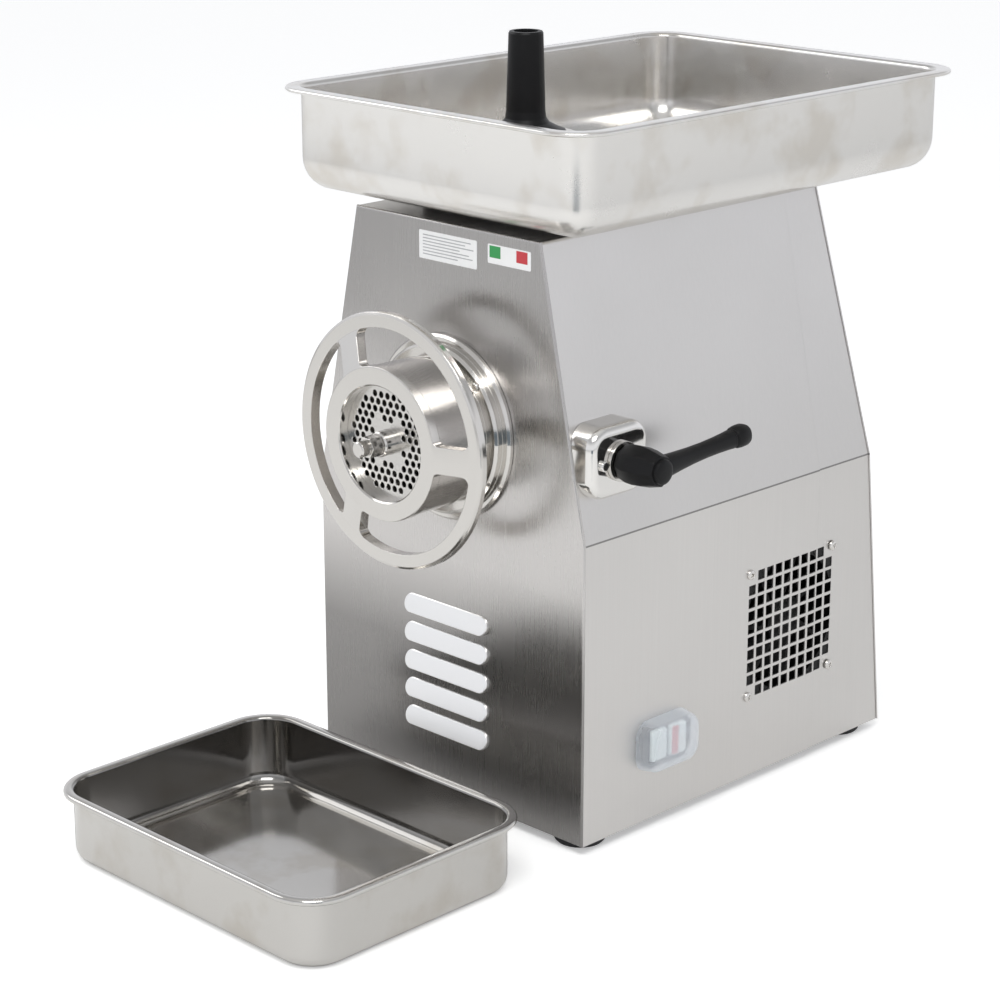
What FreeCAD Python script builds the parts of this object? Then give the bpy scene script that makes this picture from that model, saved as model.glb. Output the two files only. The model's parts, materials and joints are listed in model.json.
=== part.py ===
"""Electric meat grinder: a folded stainless cabinet, a draw-out grinding head with its hand wheel,
a geared motor inside, a lift-off feed tray with its plunger, and a collecting pan in front.

Millimetres, +Z up, the front (the head's side) faces -Y. The origin is on the floor, in the middle
of the cabinet's footprint.
"""
import FreeCAD, Part
import math
import os
import Sketcher

os.makedirs("parts", exist_ok=True)

doc = FreeCAD.newDocument("MeatGrinder")
Vector = FreeCAD.Vector

# ---------------------------------------------------------------- driving dimensions

DIMENSIONS = {
    # cabinet
    "cab_width": 294, "cab_depth": 374, "cab_top": 476, "crease_height": 252, "top_width": 200,
    "rear_lean": 52, "sheet": 1.5, "front_sheet": 2, "base_sheet": 3, "bend_radius": 3,
    "foot_height": 8, "foot_radius": 20, "foot_inset": 26, "joint_gap": 0.2, "free_gap": 0.3,
    # louvres in the front
    "louvre_width": 94, "louvre_pitch": 24, "louvre_rise": 17, "louvre_proud": 5.5,
    "louvre_skin": 1.2, "louvre_lowest": 58, "louvre_count": 5,
    # perforated field and its fan
    "fan_y": 61, "fan_z": 130.5, "fan_size": 119, "fan_depth": 38, "fan_screw_pitch": 105,
    "vent_pitch": 11, "vent_hole": 8.4, "fan_bore": 57,
    # head
    "axis_height": 316.5, "plate_radius": 49, "plate_thick": 10, "barrel_wall": 8,
    "flange_width": 16.5, "flange_step_width": 10,
    "flange_thick": 5, "flange_step": 7, "head_reach": 60.5, "barrel_back": -56,
    "slide_clearance": 0.1, "run_clearance": 0.05, "stud_radius": 9.9,
    "plate_hole_radius": 2.4, "plate_hole_pitch": 6.9, "plate_plain_rim": 9,
    "plate_plain_radius": 13.5, "flight_pitch": 44, "flight_thick": 5, "screw_core": 15,
    "knife_thick": 10, "square_side": 21,
    # ring nut and hand wheel
    "wheel_radius": 100, "wheel_rim_width": 12, "wheel_rim_thick": 9, "wheel_dish": 9.5,
    "nut_length": 48, "nut_lip": 9.4, "nut_skirt": 2, "spoke_width": 21,
    "web_thick": 8, "window_round": 5,
    # feed
    "feed_y": -100, "neck_bore": 26, "neck_wall": 3, "tray_floor": 483.5, "tray_depth": 82,
    "tray_half_width": 155, "tray_half_length": 218.5, "tray_y": 12.4, "tray_flange": 12.5,
    "tray_sheet": 1.5, "tray_corner": 24, "tray_bottom_round": 26, "tray_lip": 2.6,
    "guard_top": 533, "guard_radius": 45, "guard_sheet": 1.5, "plunger_shank": 24.5,
    "plunger_flange": 31, "plunger_top": 612, "plunger_tip": 392,
    # clamp
    "clamp_y": -154, "clamp_z": 314, "boss_proud": 19, "boss_length": 63, "boss_height": 56,
    "boss_round": 17, "clamp_screw_radius": 6, "hub_length": 41, "lever_reach": 100,
    # switch
    "switch_y": -95, "switch_z": 72, "switch_length": 62, "switch_height": 42, "switch_proud": 16,
    "button_length": 19, "button_height": 27,
    # gear train
    "gear_module": 2.5, "drive_teeth": 56, "lay_pinion_teeth": 20, "fine_module": 2,
    "lay_teeth": 63, "motor_pinion_teeth": 18, "drive_face": 20, "fine_face": 14,
    "box_front": -50, "box_front_wall": 22, "box_cavity": 48, "box_skin": 6, "cover_thick": 6,
    "boss_depth": 12, "drive_shaft_radius": 15, "lay_shaft_radius": 10, "motor_shaft_radius": 9,
    "backlash": 0.3, "tooth_clearance": 0.25,
    # motor
    "motor_radius": 70, "motor_wall": 5, "motor_length": 118, "motor_gap": 10.5,
    "stack_length": 76, "rotor_radius": 40, "air_gap": 0.6,
    # pan
    "pan_half_length": 146.5, "pan_half_width": 107, "pan_height": 58.6, "pan_x": 4, "pan_y": -360,
    "pan_sheet": 1.2, "pan_corner": 31, "pan_bottom_round": 11, "pan_flange": 7.5, "pan_lip": 5,
}


class Size:
    """A length that carries both its value and the sheet formula that it comes from."""

    def __init__(self, value, formula):
        self.value = float(value)
        self.formula = formula

    def _join(self, other, sign, value, swap=False):
        text = other.formula if isinstance(other, Size) else repr(float(other))
        first, second = (text, self.formula) if swap else (self.formula, text)
        return Size(value, f"({first} {sign} {second})")

    def __add__(self, other):
        return self._join(other, "+", self.value + number(other))

    def __radd__(self, other):
        return self._join(other, "+", number(other) + self.value, swap=True)

    def __sub__(self, other):
        return self._join(other, "-", self.value - number(other))

    def __rsub__(self, other):
        return self._join(other, "-", number(other) - self.value, swap=True)

    def __mul__(self, other):
        return self._join(other, "*", self.value * number(other))

    def __rmul__(self, other):
        return self._join(other, "*", number(other) * self.value, swap=True)

    def __truediv__(self, other):
        return self._join(other, "/", self.value / number(other))

    def __rtruediv__(self, other):
        return self._join(other, "/", number(other) / self.value, swap=True)

    def __neg__(self):
        return Size(-self.value, f"(0 - {self.formula})")


def number(size):
    return size.value if isinstance(size, Size) else float(size)


def root(size):
    return Size(math.sqrt(number(size)), f"sqrt({size.formula})")


class Dimensions:
    """The driving dimensions: one spreadsheet row each, with its name as the alias."""

    def __init__(self, table):
        sheet = doc.addObject("Spreadsheet::Sheet", "Dims")
        for row, (name, value) in enumerate(table.items(), start=1):
            sheet.set(f"A{row}", name)
            sheet.set(f"B{row}", str(value))
            sheet.setAlias(f"B{row}", name)
            setattr(self, name, Size(value, f"Dims.{name}"))


d = Dimensions(DIMENSIONS)
doc.recompute()

# ---------------------------------------------------------------- document helpers

NODES = []


def node(thing, label):
    thing.Label = label
    NODES.append(thing)
    return thing


def bind(thing, prop, size):
    """Ties a property to the sheet, or sets it where the size is a plain number."""
    if isinstance(size, Size):
        thing.setExpression(prop, size.formula)
    elif prop.isalpha():
        setattr(thing, prop, size)


AIM = {
    "up": FreeCAD.Rotation(),
    "back": FreeCAD.Rotation(Vector(1, 0, 0), -90),   # local Z becomes +Y
    "right": FreeCAD.Rotation(Vector(0, 1, 0), 90),   # local Z becomes +X
}


def place(thing, x=0, y=0, z=0, aim="up", turn=None):
    rotation = turn if turn is not None else AIM[aim]
    thing.Placement = FreeCAD.Placement(Vector(number(x), number(y), number(z)), rotation)
    for letter, size in (("x", x), ("y", y), ("z", z)):
        bind(thing, f"Placement.Base.{letter}", size)
    return thing


def body(label):
    return node(doc.addObject("PartDesign::Body", label), label)


def origin_plane(owner, role):
    return next(f for f in owner.Origin.OriginFeatures if f.Role == role)


def sketch(owner, plane="XZ_Plane", lift=0):
    """An empty sketch on one of the body's own planes, lifted along the plane's normal."""
    made = owner.newObject("Sketcher::SketchObject", "Sketch")
    made.AttachmentSupport = [(origin_plane(owner, plane), "")]
    made.MapMode = "FlatFace"
    made.AttachmentOffset = FreeCAD.Placement(Vector(0, 0, number(lift)), FreeCAD.Rotation())
    bind(made, "AttachmentOffset.Base.z", lift)
    return made


def draw_polygon(made, points):
    """A closed outline whose every corner is held at (across, up) by the sheet."""
    first = made.GeometryCount
    corners = [Vector(number(a), number(b), 0) for a, b in points]
    count = len(points)
    for i in range(count):
        made.addGeometry(Part.LineSegment(corners[i], corners[(i + 1) % count]), False)
    for i in range(count):
        after = first + (i + 1) % count
        made.addConstraint(Sketcher.Constraint("Coincident", first + i, 2, after, 1))
    for i, (a, b) in enumerate(points):
        hold(made, "DistanceX", first + i, 1, a)
        hold(made, "DistanceY", first + i, 1, b)
    return made


def hold(made, kind, geometry, point, size):
    index = made.addConstraint(
        Sketcher.Constraint(kind, -1, 1, geometry, point, number(size)))
    bind(made, f"Constraints[{index}]", size)


def draw_circle(made, across, up, radius):
    centre = Vector(number(across), number(up), 0)
    index = made.addGeometry(Part.Circle(centre, Vector(0, 0, 1), number(radius)), False)
    held = made.addConstraint(Sketcher.Constraint("Radius", index, number(radius)))
    bind(made, f"Constraints[{held}]", radius)
    hold(made, "DistanceX", index, 3, across)
    hold(made, "DistanceY", index, 3, up)
    return made


def rectangle(across, up, width, height):
    """The four corners of a rectangle round a centre."""
    left, right = across - width / 2, across + width / 2
    low, high = up - height / 2, up + height / 2
    return [(left, low), (right, low), (right, high), (left, high)]


def pad(owner, profile, length, both=False, back=False):
    made = owner.newObject("PartDesign::Pad", "Pad")
    made.Profile = profile
    made.Midplane = both
    made.Reversed = back
    bind(made, "Length", length)
    doc.recompute()
    return made


def pocket(owner, profile, length, both=False, back=False):
    """Cuts, and checks that something was cut."""
    before = owner.Shape.Volume
    made = owner.newObject("PartDesign::Pocket", "Pocket")
    made.Profile = profile
    made.Midplane = both
    made.Reversed = back
    bind(made, "Length", length)
    doc.recompute()
    if owner.Shape.Volume > before - 0.01:
        raise RuntimeError(f"a pocket in {owner.Label} cuts nothing")
    return made


def polar(owner, feature, count):
    made = owner.newObject("PartDesign::PolarPattern", "PolarPattern")
    made.Originals = [feature]
    made.Axis = (origin_plane(owner, "Z_Axis"), [""])
    made.Angle = 360
    bind(made, "Occurrences", count)
    owner.Tip = made
    doc.recompute()
    return made


def line_step(owner, axis, pitch, count):
    made = owner.newObject("PartDesign::LinearPattern", "Step")
    made.Direction = (origin_plane(owner, axis), [""])
    bind(made, "Length", pitch * (number(count) - 1))
    made.Occurrences = int(number(count))
    return made


def grid(owner, feature, steps):
    """Repeats a feature along one or two of the body's axes."""
    made = owner.newObject("PartDesign::MultiTransform", "Grid")
    made.Originals = [feature]
    made.Transformations = steps
    owner.Tip = made
    doc.recompute()
    return made


def soften(owner, radius, wanted, kind="Fillet"):
    """Rounds or bevels the tip's edges that the test picks."""
    tip = owner.Tip
    names = [f"Edge{i}" for i, edge in enumerate(tip.Shape.Edges, start=1) if wanted(edge)]
    if not names:
        raise RuntimeError(f"no edges to soften in {owner.Label}")
    made = owner.newObject(f"PartDesign::{kind}", kind)
    made.Base = (tip, names)
    bind(made, "Radius" if kind == "Fillet" else "Size", radius)
    doc.recompute()
    if "Invalid" in made.State:
        raise RuntimeError(f"the {kind.lower()} of {number(radius):.2f} in {owner.Label} failed")
    return made


def near(value, wanted):
    return abs(value - number(wanted)) < 0.01


def spans(edge, axis):
    box = edge.BoundBox
    return {"x": box.XLength, "y": box.YLength, "z": box.ZLength}[axis]


def along(edge, axis):
    """A straight edge that runs along one axis."""
    others = [letter for letter in "xyz" if letter != axis]
    return spans(edge, axis) > 0.1 and all(spans(edge, letter) < 1e-4 for letter in others)


def level(edge, axis, at):
    """An edge that lies at one place along an axis."""
    box = edge.BoundBox
    low = {"x": box.XMin, "y": box.YMin, "z": box.ZMin}[axis]
    return spans(edge, axis) < 1e-4 and near(low, at)


def turned(label, profile, aim="up", x=0, y=0, z=0):
    """A piece from the lathe: its profile is (radius, station) points about its own Z axis."""
    owner = body(label)
    made = draw_polygon(sketch(owner), profile)
    revolution = owner.newObject("PartDesign::Revolution", "Revolution")
    revolution.Profile = made
    revolution.ReferenceAxis = (made, ["V_Axis"])
    revolution.Angle = 360
    place(owner, x, y, z, aim)
    doc.recompute()
    return owner


def ring(inner, outer, low, high):
    return [(inner, low), (outer, low), (outer, high), (inner, high)]


def washer(label, inner, outer, low, high, aim="up", x=0, y=0, z=0):
    return turned(label, ring(inner, outer, low, high), aim, x, y, z)


def primitive(kind, name, placement, **sizes):
    """A Part primitive with its sizes bound to the sheet; placement is a dict for place()."""
    made = doc.addObject(f"Part::{kind}", name)
    for prop, size in sizes.items():
        bind(made, prop, size)
    place(made, **placement)
    return made


def cylinder(name, radius, height, **placement):
    return primitive("Cylinder", name, placement, Radius=radius, Height=height)


def block(name, length, width, height, x=0, y=0, z=0, **placement):
    """A box centred on x and y, standing on z."""
    placement.update(x=x - length / 2, y=y - width / 2, z=z)
    return primitive("Box", name, placement, Length=length, Width=width, Height=height)


def fused(name, *shapes):
    made = doc.addObject("Part::MultiFuse", name)
    made.Shapes = list(shapes)
    return made


def cut(name, base, tool):
    made = doc.addObject("Part::Cut", name)
    made.Base = base
    made.Tool = tool
    return made


def group(label, *members):
    """Separate solids that share one node."""
    made = doc.addObject("Part::Compound", label)
    made.Links = list(members)
    return node(made, label)


def free_shape(label, shape, x=0, y=0, z=0, aim="up"):
    """A shape made by formula, such as a gear; its sizes are read from the sheet's values."""
    made = doc.addObject("Part::Feature", label)
    made.Shape = shape
    place(made, x, y, z, aim)
    return node(made, label)


# ---------------------------------------------------------------- places that several pieces share

HALF_WIDTH = d.cab_width / 2
HALF_TOP = d.top_width / 2
FRONT = -d.cab_depth / 2
REAR = d.cab_depth / 2
SIDE_RISE = d.cab_top - d.crease_height
SIDE_LEAN = (HALF_WIDTH - HALF_TOP) / SIDE_RISE            # how far the upper side comes in per mm
REAR_SLOPE = d.rear_lean / (d.cab_top - d.foot_height)     # how far the rear comes in per mm
SLANT = root(1 + SIDE_LEAN * SIDE_LEAN)                    # slant length per mm of height
BARREL_RADIUS = d.plate_radius + d.barrel_wall
THREAD_RADIUS = BARREL_RADIUS - 4
BORE_RADIUS = d.plate_radius - 2.5
FLANGE_RADIUS = BARREL_RADIUS + d.flange_width
FLANGE_STEP_RADIUS = BARREL_RADIUS + d.flange_step_width
PLATE_FIELD_RADIUS = d.plate_radius - d.plate_plain_rim
NUT_RADIUS = BARREL_RADIUS + d.nut_skirt
NUT_OPENING = d.plate_radius - 4
PLATE_FACE = FRONT - d.head_reach - 1                      # front face of the perforated plate
PLATE_BACK = PLATE_FACE + d.plate_thick
BARREL_FRONT = FRONT - d.head_reach
KNIFE_BACK = PLATE_BACK + d.knife_thick
HUB_FACE = PLATE_FACE - d.nut_lip
LAY_HEIGHT = d.axis_height - d.gear_module * (d.drive_teeth + d.lay_pinion_teeth) / 2
MOTOR_HEIGHT = LAY_HEIGHT - d.fine_module * (d.lay_teeth + d.motor_pinion_teeth) / 2
CAVITY_FRONT = d.box_front + d.box_front_wall
CAVITY_BACK = CAVITY_FRONT + d.box_cavity
COVER_BACK = CAVITY_BACK + d.cover_thick
NECK_OUTER = d.neck_bore + d.neck_wall
GUARD_BORE = d.neck_bore + 0.5
SWITCH_BODY_LENGTH = d.switch_length - 14
SWITCH_BODY_HEIGHT = d.switch_height - 10

# small sizes that never change with the rest
FAN_SCREW_RADIUS = 2
PANEL_SCREW_RADIUS = 2
PANEL_SCREW_INSET = 14
REAR_EDGE = 24
FOOT_SCREW_RADIUS = 2.5
CLAMP_SLEEVE_RADIUS = 11
BOSS_BOLT_OFFSET = 20
BOSS_DEPTH = 41
LEVER_RISE = 4
SHOE_RADIUS = 9
SOCKET_WALL = 6
GLAND_X, GLAND_Z = -80, 60
GLAND_RADIUS = 8
GLAND_BORE = 4.5
PIN_RADIUS = 3.2
PIN_ANGLE = math.radians(43)
PIN_REACH = FLANGE_STEP_RADIUS - PIN_RADIUS - 1.5
PIN_X = PIN_REACH * math.cos(PIN_ANGLE)
PIN_UP = PIN_REACH * math.sin(PIN_ANGLE)
PIN_DEPTH = 6
TANG_SIDE = 17
TANG_LENGTH = 16
DRIVE_SEAT = 28
LAY_SEAT = 21
MOTOR_SEAT = 16
SEAL_RADIUS = 23
BEARING_WIDTH = 14
MOTOR_BEARING = 15


def cabinet_outline(inset):
    """The cabinet's front view, moved in by an inset all round but standing on the same base."""
    crease_drop = inset * (SLANT - 1) / SIDE_LEAN
    top_in = inset * (SLANT - SIDE_LEAN)
    wide = HALF_WIDTH - inset
    narrow = HALF_TOP - top_in
    crease = d.crease_height - crease_drop
    top = d.cab_top - inset
    low = d.foot_height
    return [(-wide, low), (wide, low), (wide, crease), (narrow, top), (-narrow, top), (-wide, crease)]


def side_x(height):
    """Where the outer face of the upper right side is at a height."""
    return HALF_WIDTH - (height - d.crease_height) * SIDE_LEAN


def rear_y(height):
    return REAR - (height - d.foot_height) * REAR_SLOPE


BOSS_FACE = side_x(d.clamp_z) + d.boss_proud


# ---------------------------------------------------------------- cabinet


def make_casing():
    casing = body("casing")
    outer = cabinet_outline(0)
    inner = cabinet_outline(d.sheet)
    wrap = [outer[1], outer[2], outer[3], outer[4], outer[5], outer[0],
            inner[0], inner[5], inner[4], inner[3], inner[2], inner[1]]
    front_gap = FRONT + d.front_sheet
    pad(casing, draw_polygon(sketch(casing, lift=-front_gap), wrap),
        d.cab_depth - d.front_sheet, back=True)
    soften(casing, d.bend_radius, lambda e: along(e, "y") and level(e, "z", d.cab_top))
    soften(casing, d.bend_radius, lambda e: along(e, "y") and level(e, "z", d.crease_height))
    soften(casing, d.bend_radius - d.sheet,
           lambda e: along(e, "y") and level(e, "z", d.cab_top - d.sheet))
    beyond = 60
    low, high = d.foot_height - 1, d.cab_top + 1
    behind = [(rear_y(low) - d.sheet, low), (REAR + beyond, low),
              (REAR + beyond, high), (rear_y(high) - d.sheet, high)]
    pocket(casing, draw_polygon(sketch(casing, "YZ_Plane"), behind), d.cab_width + 2, both=True)
    add_rear_edge(casing)
    cut_vent_field(casing)
    cut_side_holes(casing)
    return casing


def add_rear_edge(casing):
    """A turned-in edge along the sloping back, which the rear panel's screws go into."""
    low, high = d.foot_height, d.cab_top - d.sheet / 2
    edge = [(rear_y(low) - 2 * d.sheet, low), (rear_y(low) - d.sheet, low),
            (rear_y(high) - d.sheet, high), (rear_y(high) - 2 * d.sheet, high)]
    pad(casing, draw_polygon(sketch(casing, "YZ_Plane"), edge), d.cab_width, both=True)
    far = d.cab_width
    rear_half = sketch(casing, lift=-REAR / 2)
    draw_polygon(rear_half, [(-far, -5), (far, -5), (far, d.cab_top + 40), (-far, d.cab_top + 40)])
    draw_polygon(rear_half, cabinet_outline(d.sheet / 2))
    pocket(casing, rear_half, REAR)
    window = draw_polygon(sketch(casing, lift=-REAR / 2), cabinet_outline(REAR_EDGE))
    pocket(casing, window, REAR)
    holes = sketch(casing, lift=-REAR / 2)
    for x, z in rear_screw_places():
        draw_circle(holes, x, z, PANEL_SCREW_RADIUS + d.free_gap)
    pocket(casing, holes, REAR)


def rear_screw_places():
    """Three pairs of screws up the edges of the back."""
    lower = HALF_WIDTH - PANEL_SCREW_INSET
    upper = HALF_TOP - PANEL_SCREW_INSET
    return [(side * across, height) for across, height in ((lower, 28), (lower, 230), (upper, 455))
            for side in (-1, 1)]


def cut_vent_field(casing):
    """Ten by ten square holes in the right side, without the four corners."""
    reach = 20
    first_y = d.fan_y - d.vent_pitch * 4.5
    first_z = d.fan_z - d.vent_pitch * 4.5
    side = sketch(casing, "YZ_Plane", lift=HALF_WIDTH - reach)
    square = rectangle(first_y, first_z + d.vent_pitch, d.vent_hole, d.vent_hole)
    hole = pocket(casing, draw_polygon(side, square), reach + 5, back=True)
    grid(casing, hole, [line_step(casing, "Y_Axis", d.vent_pitch, 10),
                        line_step(casing, "Z_Axis", d.vent_pitch, 8)])
    side = sketch(casing, "YZ_Plane", lift=HALF_WIDTH - reach)
    square = rectangle(first_y + d.vent_pitch, first_z, d.vent_hole, d.vent_hole)
    hole = pocket(casing, draw_polygon(side, square), reach + 5, back=True)
    grid(casing, hole, [line_step(casing, "Y_Axis", d.vent_pitch, 8),
                        line_step(casing, "Z_Axis", d.vent_pitch * 9, 2)])


def cut_side_holes(casing):
    """Fan screws, clamp and switch in the right side, and the feed hole in the top."""
    reach = 40
    side = sketch(casing, "YZ_Plane", lift=HALF_WIDTH - reach)
    half = d.fan_screw_pitch / 2
    for y in (d.fan_y - half, d.fan_y + half):
        for z in (d.fan_z - half, d.fan_z + half):
            draw_circle(side, y, z, FAN_SCREW_RADIUS + d.free_gap)
    draw_circle(side, d.clamp_y, d.clamp_z, CLAMP_SLEEVE_RADIUS + d.free_gap)
    draw_polygon(side, rectangle(d.switch_y, d.switch_z, SWITCH_BODY_LENGTH + 2 * d.free_gap,
                                 SWITCH_BODY_HEIGHT + 2 * d.free_gap))
    pocket(casing, side, reach + 5, back=True)
    top = sketch(casing, "XY_Plane", lift=d.cab_top - 20)
    draw_circle(top, 0, d.feed_y, NECK_OUTER + d.free_gap)
    pocket(casing, top, 30, back=True)


def make_front_panel():
    """The flat front with its turned-in edge, the mouth for the head and five louvre hoods."""
    panel = body("front_panel")
    place(panel, y=FRONT + d.front_sheet)
    pad(panel, draw_polygon(sketch(panel), cabinet_outline(0)), d.front_sheet)
    edge = sketch(panel)
    draw_polygon(edge, raised(cabinet_outline(d.sheet + d.joint_gap), d.base_sheet + d.joint_gap))
    draw_polygon(edge, raised(cabinet_outline(2 * d.sheet + d.joint_gap),
                              d.base_sheet + d.sheet + d.joint_gap))
    pad(panel, edge, 12, back=True)
    edge_top = d.cab_top - d.sheet - d.joint_gap
    soften(panel, d.bend_radius - d.sheet, lambda e: along(e, "y") and level(e, "z", edge_top))
    soften(panel, 1, lambda e: level(e, "y", -d.front_sheet) and not level(e, "z", d.foot_height))
    add_louvres(panel)
    mouth = draw_circle(sketch(panel), 0, d.axis_height, BARREL_RADIUS + d.free_gap)
    pocket(panel, mouth, 40, both=True)
    return panel


def raised(outline, rise):
    """The same outline with its bottom edge lifted clear of the base plate."""
    return [(a, b + rise) if i < 2 else (a, b) for i, (a, b) in enumerate(outline)]


def add_louvres(panel):
    """A hood is a wedge with its point at the top, hollow, and open underneath."""
    skin = d.louvre_skin
    low = d.louvre_lowest
    high = low + d.louvre_rise
    face = -d.front_sheet
    hood = sketch(panel, "YZ_Plane")
    draw_polygon(hood, [(face + 0.5, low), (face - d.louvre_proud, low),
                        (face - d.louvre_proud, low + skin), (face + 0.5, high)])
    wedge = pad(panel, hood, d.louvre_width, both=True)
    hollow = sketch(panel, "YZ_Plane")
    draw_polygon(hollow, [(face - d.louvre_proud + skin, low - 0.5),
                          (face - d.louvre_proud + skin, low + skin / 2),
                          (1, high - 2.5 * skin), (1, low - 0.5)])
    opened = pocket(panel, hollow, d.louvre_width - 2 * skin, both=True)
    made = panel.newObject("PartDesign::LinearPattern", "Louvres")
    made.Originals = [wedge, opened]
    made.Direction = (origin_plane(panel, "Z_Axis"), [""])
    bind(made, "Length", d.louvre_pitch * (d.louvre_count - 1))
    bind(made, "Occurrences", d.louvre_count)
    panel.Tip = made
    doc.recompute()
    half = d.louvre_width / 2
    soften(panel, 2.5, lambda e: e.BoundBox.YMax < number(face) + 0.6
           and (level(e, "x", half) or level(e, "x", -half)) and spans(e, "z") > 5)


def make_rear_panel():
    """A flat sheet on the sloping back, cut to the cabinet's outline."""
    panel = body("rear_panel")
    low, high = d.foot_height, d.cab_top
    slab = [(rear_y(low) - d.sheet + d.joint_gap, low), (rear_y(low), low),
            (rear_y(high), high), (rear_y(high) - d.sheet + d.joint_gap, high)]
    pad(panel, draw_polygon(sketch(panel, "YZ_Plane"), slab), d.cab_width + 20, both=True)
    trim = sketch(panel)
    far = d.cab_width
    draw_polygon(trim, [(-far, -5), (far, -5), (far, d.cab_top + 40), (-far, d.cab_top + 40)])
    draw_polygon(trim, cabinet_outline(0))
    pocket(panel, trim, 3 * d.cab_depth, both=True)
    holes = draw_circle(sketch(panel), GLAND_X, GLAND_Z, GLAND_RADIUS)
    for x, z in rear_screw_places():
        draw_circle(holes, x, z, PANEL_SCREW_RADIUS + d.free_gap)
    pocket(panel, holes, d.cab_depth)
    return panel


def make_base():
    plate = body("base_plate")
    inset = d.sheet + d.joint_gap
    length = d.cab_depth - d.front_sheet - 2 * d.sheet - 2
    outline = rectangle(0, -1, d.cab_width - 2 * inset, length)
    pad(plate, draw_polygon(sketch(plate, "XY_Plane", lift=d.foot_height), outline), d.base_sheet)
    foot_x = HALF_WIDTH - d.foot_inset
    foot_y = REAR - d.foot_inset
    profile = [(0, 1.5), (6, 1.5), (6, 0), (d.foot_radius - 1.5, 0), (d.foot_radius, 1.5),
               (d.foot_radius - 1, d.foot_height), (0, d.foot_height)]
    seat = d.foot_height + d.base_sheet + d.joint_gap
    screw = [(0, d.foot_height), (FOOT_SCREW_RADIUS, d.foot_height), (FOOT_SCREW_RADIUS, seat),
             (5, seat), (5, seat + 3.2), (0, seat + 3.2)]
    holes = sketch(plate, "XY_Plane", lift=d.foot_height)
    places = [(sx * foot_x, sy * foot_y, 0) for sx in (-1, 1) for sy in (-1, 1)]
    for x, y, _ in places:
        draw_circle(holes, x, y, FOOT_SCREW_RADIUS + d.joint_gap)
    pocket(plate, holes, d.base_sheet, back=True)
    revolved_group("rubber_feet", profile, places)
    revolved_group("foot_screws", screw, places)


def revolved(profile):
    """A turned solid from fixed points, as small standard parts are."""
    corners = [Vector(number(a), 0, number(b)) for a, b in profile]
    made = doc.addObject("Part::Feature", "Turned")
    made.Shape = Part.Face(Part.makePolygon(corners + corners[:1])).revolve(
        Vector(0, 0, 0), Vector(0, 0, 1), 360)
    return made


def revolved_group(label, profile, places, aim="up", turn=None):
    """The same turned piece at several places, one node."""
    members = [place(revolved(profile), x, y, z, aim, turn) for x, y, z in places]
    return group(label, *members)


# ---------------------------------------------------------------- cabinet fittings


def make_rear_fittings():
    """Screws round the rear sheet and the empty gland for the mains lead."""
    lean = FreeCAD.Rotation(Vector(1, 0, 0), -90 + math.degrees(math.atan(number(REAR_SLOPE))))
    head = [(0, -6), (2, -6), (2, 0.1), (4.2, 0.1), (4.2, 1.2), (3, 2.4), (0, 2.4)]
    places = [(x, rear_y(z), z) for x, z in rear_screw_places()]
    revolved_group("panel_screws", head, places, turn=lean)
    gland = [(GLAND_BORE, -14), (GLAND_RADIUS - 0.2, -14), (GLAND_RADIUS - 0.2, 0.1),
             (12, 0.1), (12, 5), (9, 9), (9, 20), (GLAND_BORE + 1, 24), (GLAND_BORE, 24)]
    place(node(revolved(gland), "cable_gland"), GLAND_X, rear_y(GLAND_Z), GLAND_Z, turn=lean)


def make_labels():
    """Two blank labels on the front."""
    thick = 0.3
    members = []
    for x, z, width, height in ((3, 456, 62.5, 21.5), (68.5, 460, 45, 14.8)):
        members.append(block("label", width, thick, height, x=x, y=FRONT - thick / 2 - 0.05,
                             z=z - height / 2))
    group("front_labels", *members)


def make_tray_gasket():
    """The rubber seat that the tray rests on, round the feed neck."""
    seat = body("tray_gasket")
    height = d.tray_floor - d.cab_top - d.free_gap
    outline = rectangle(0, -12, 2 * HALF_TOP - 36, d.cab_depth - d.rear_lean - 62)
    pad(seat, draw_polygon(sketch(seat, "XY_Plane", lift=d.cab_top), outline), height)
    soften(seat, 18, lambda e: along(e, "z"))
    hole = sketch(seat, "XY_Plane", lift=d.cab_top)
    draw_circle(hole, 0, d.feed_y, NECK_OUTER + d.free_gap)
    pocket(seat, hole, height, back=True)


# ---------------------------------------------------------------- head


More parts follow.
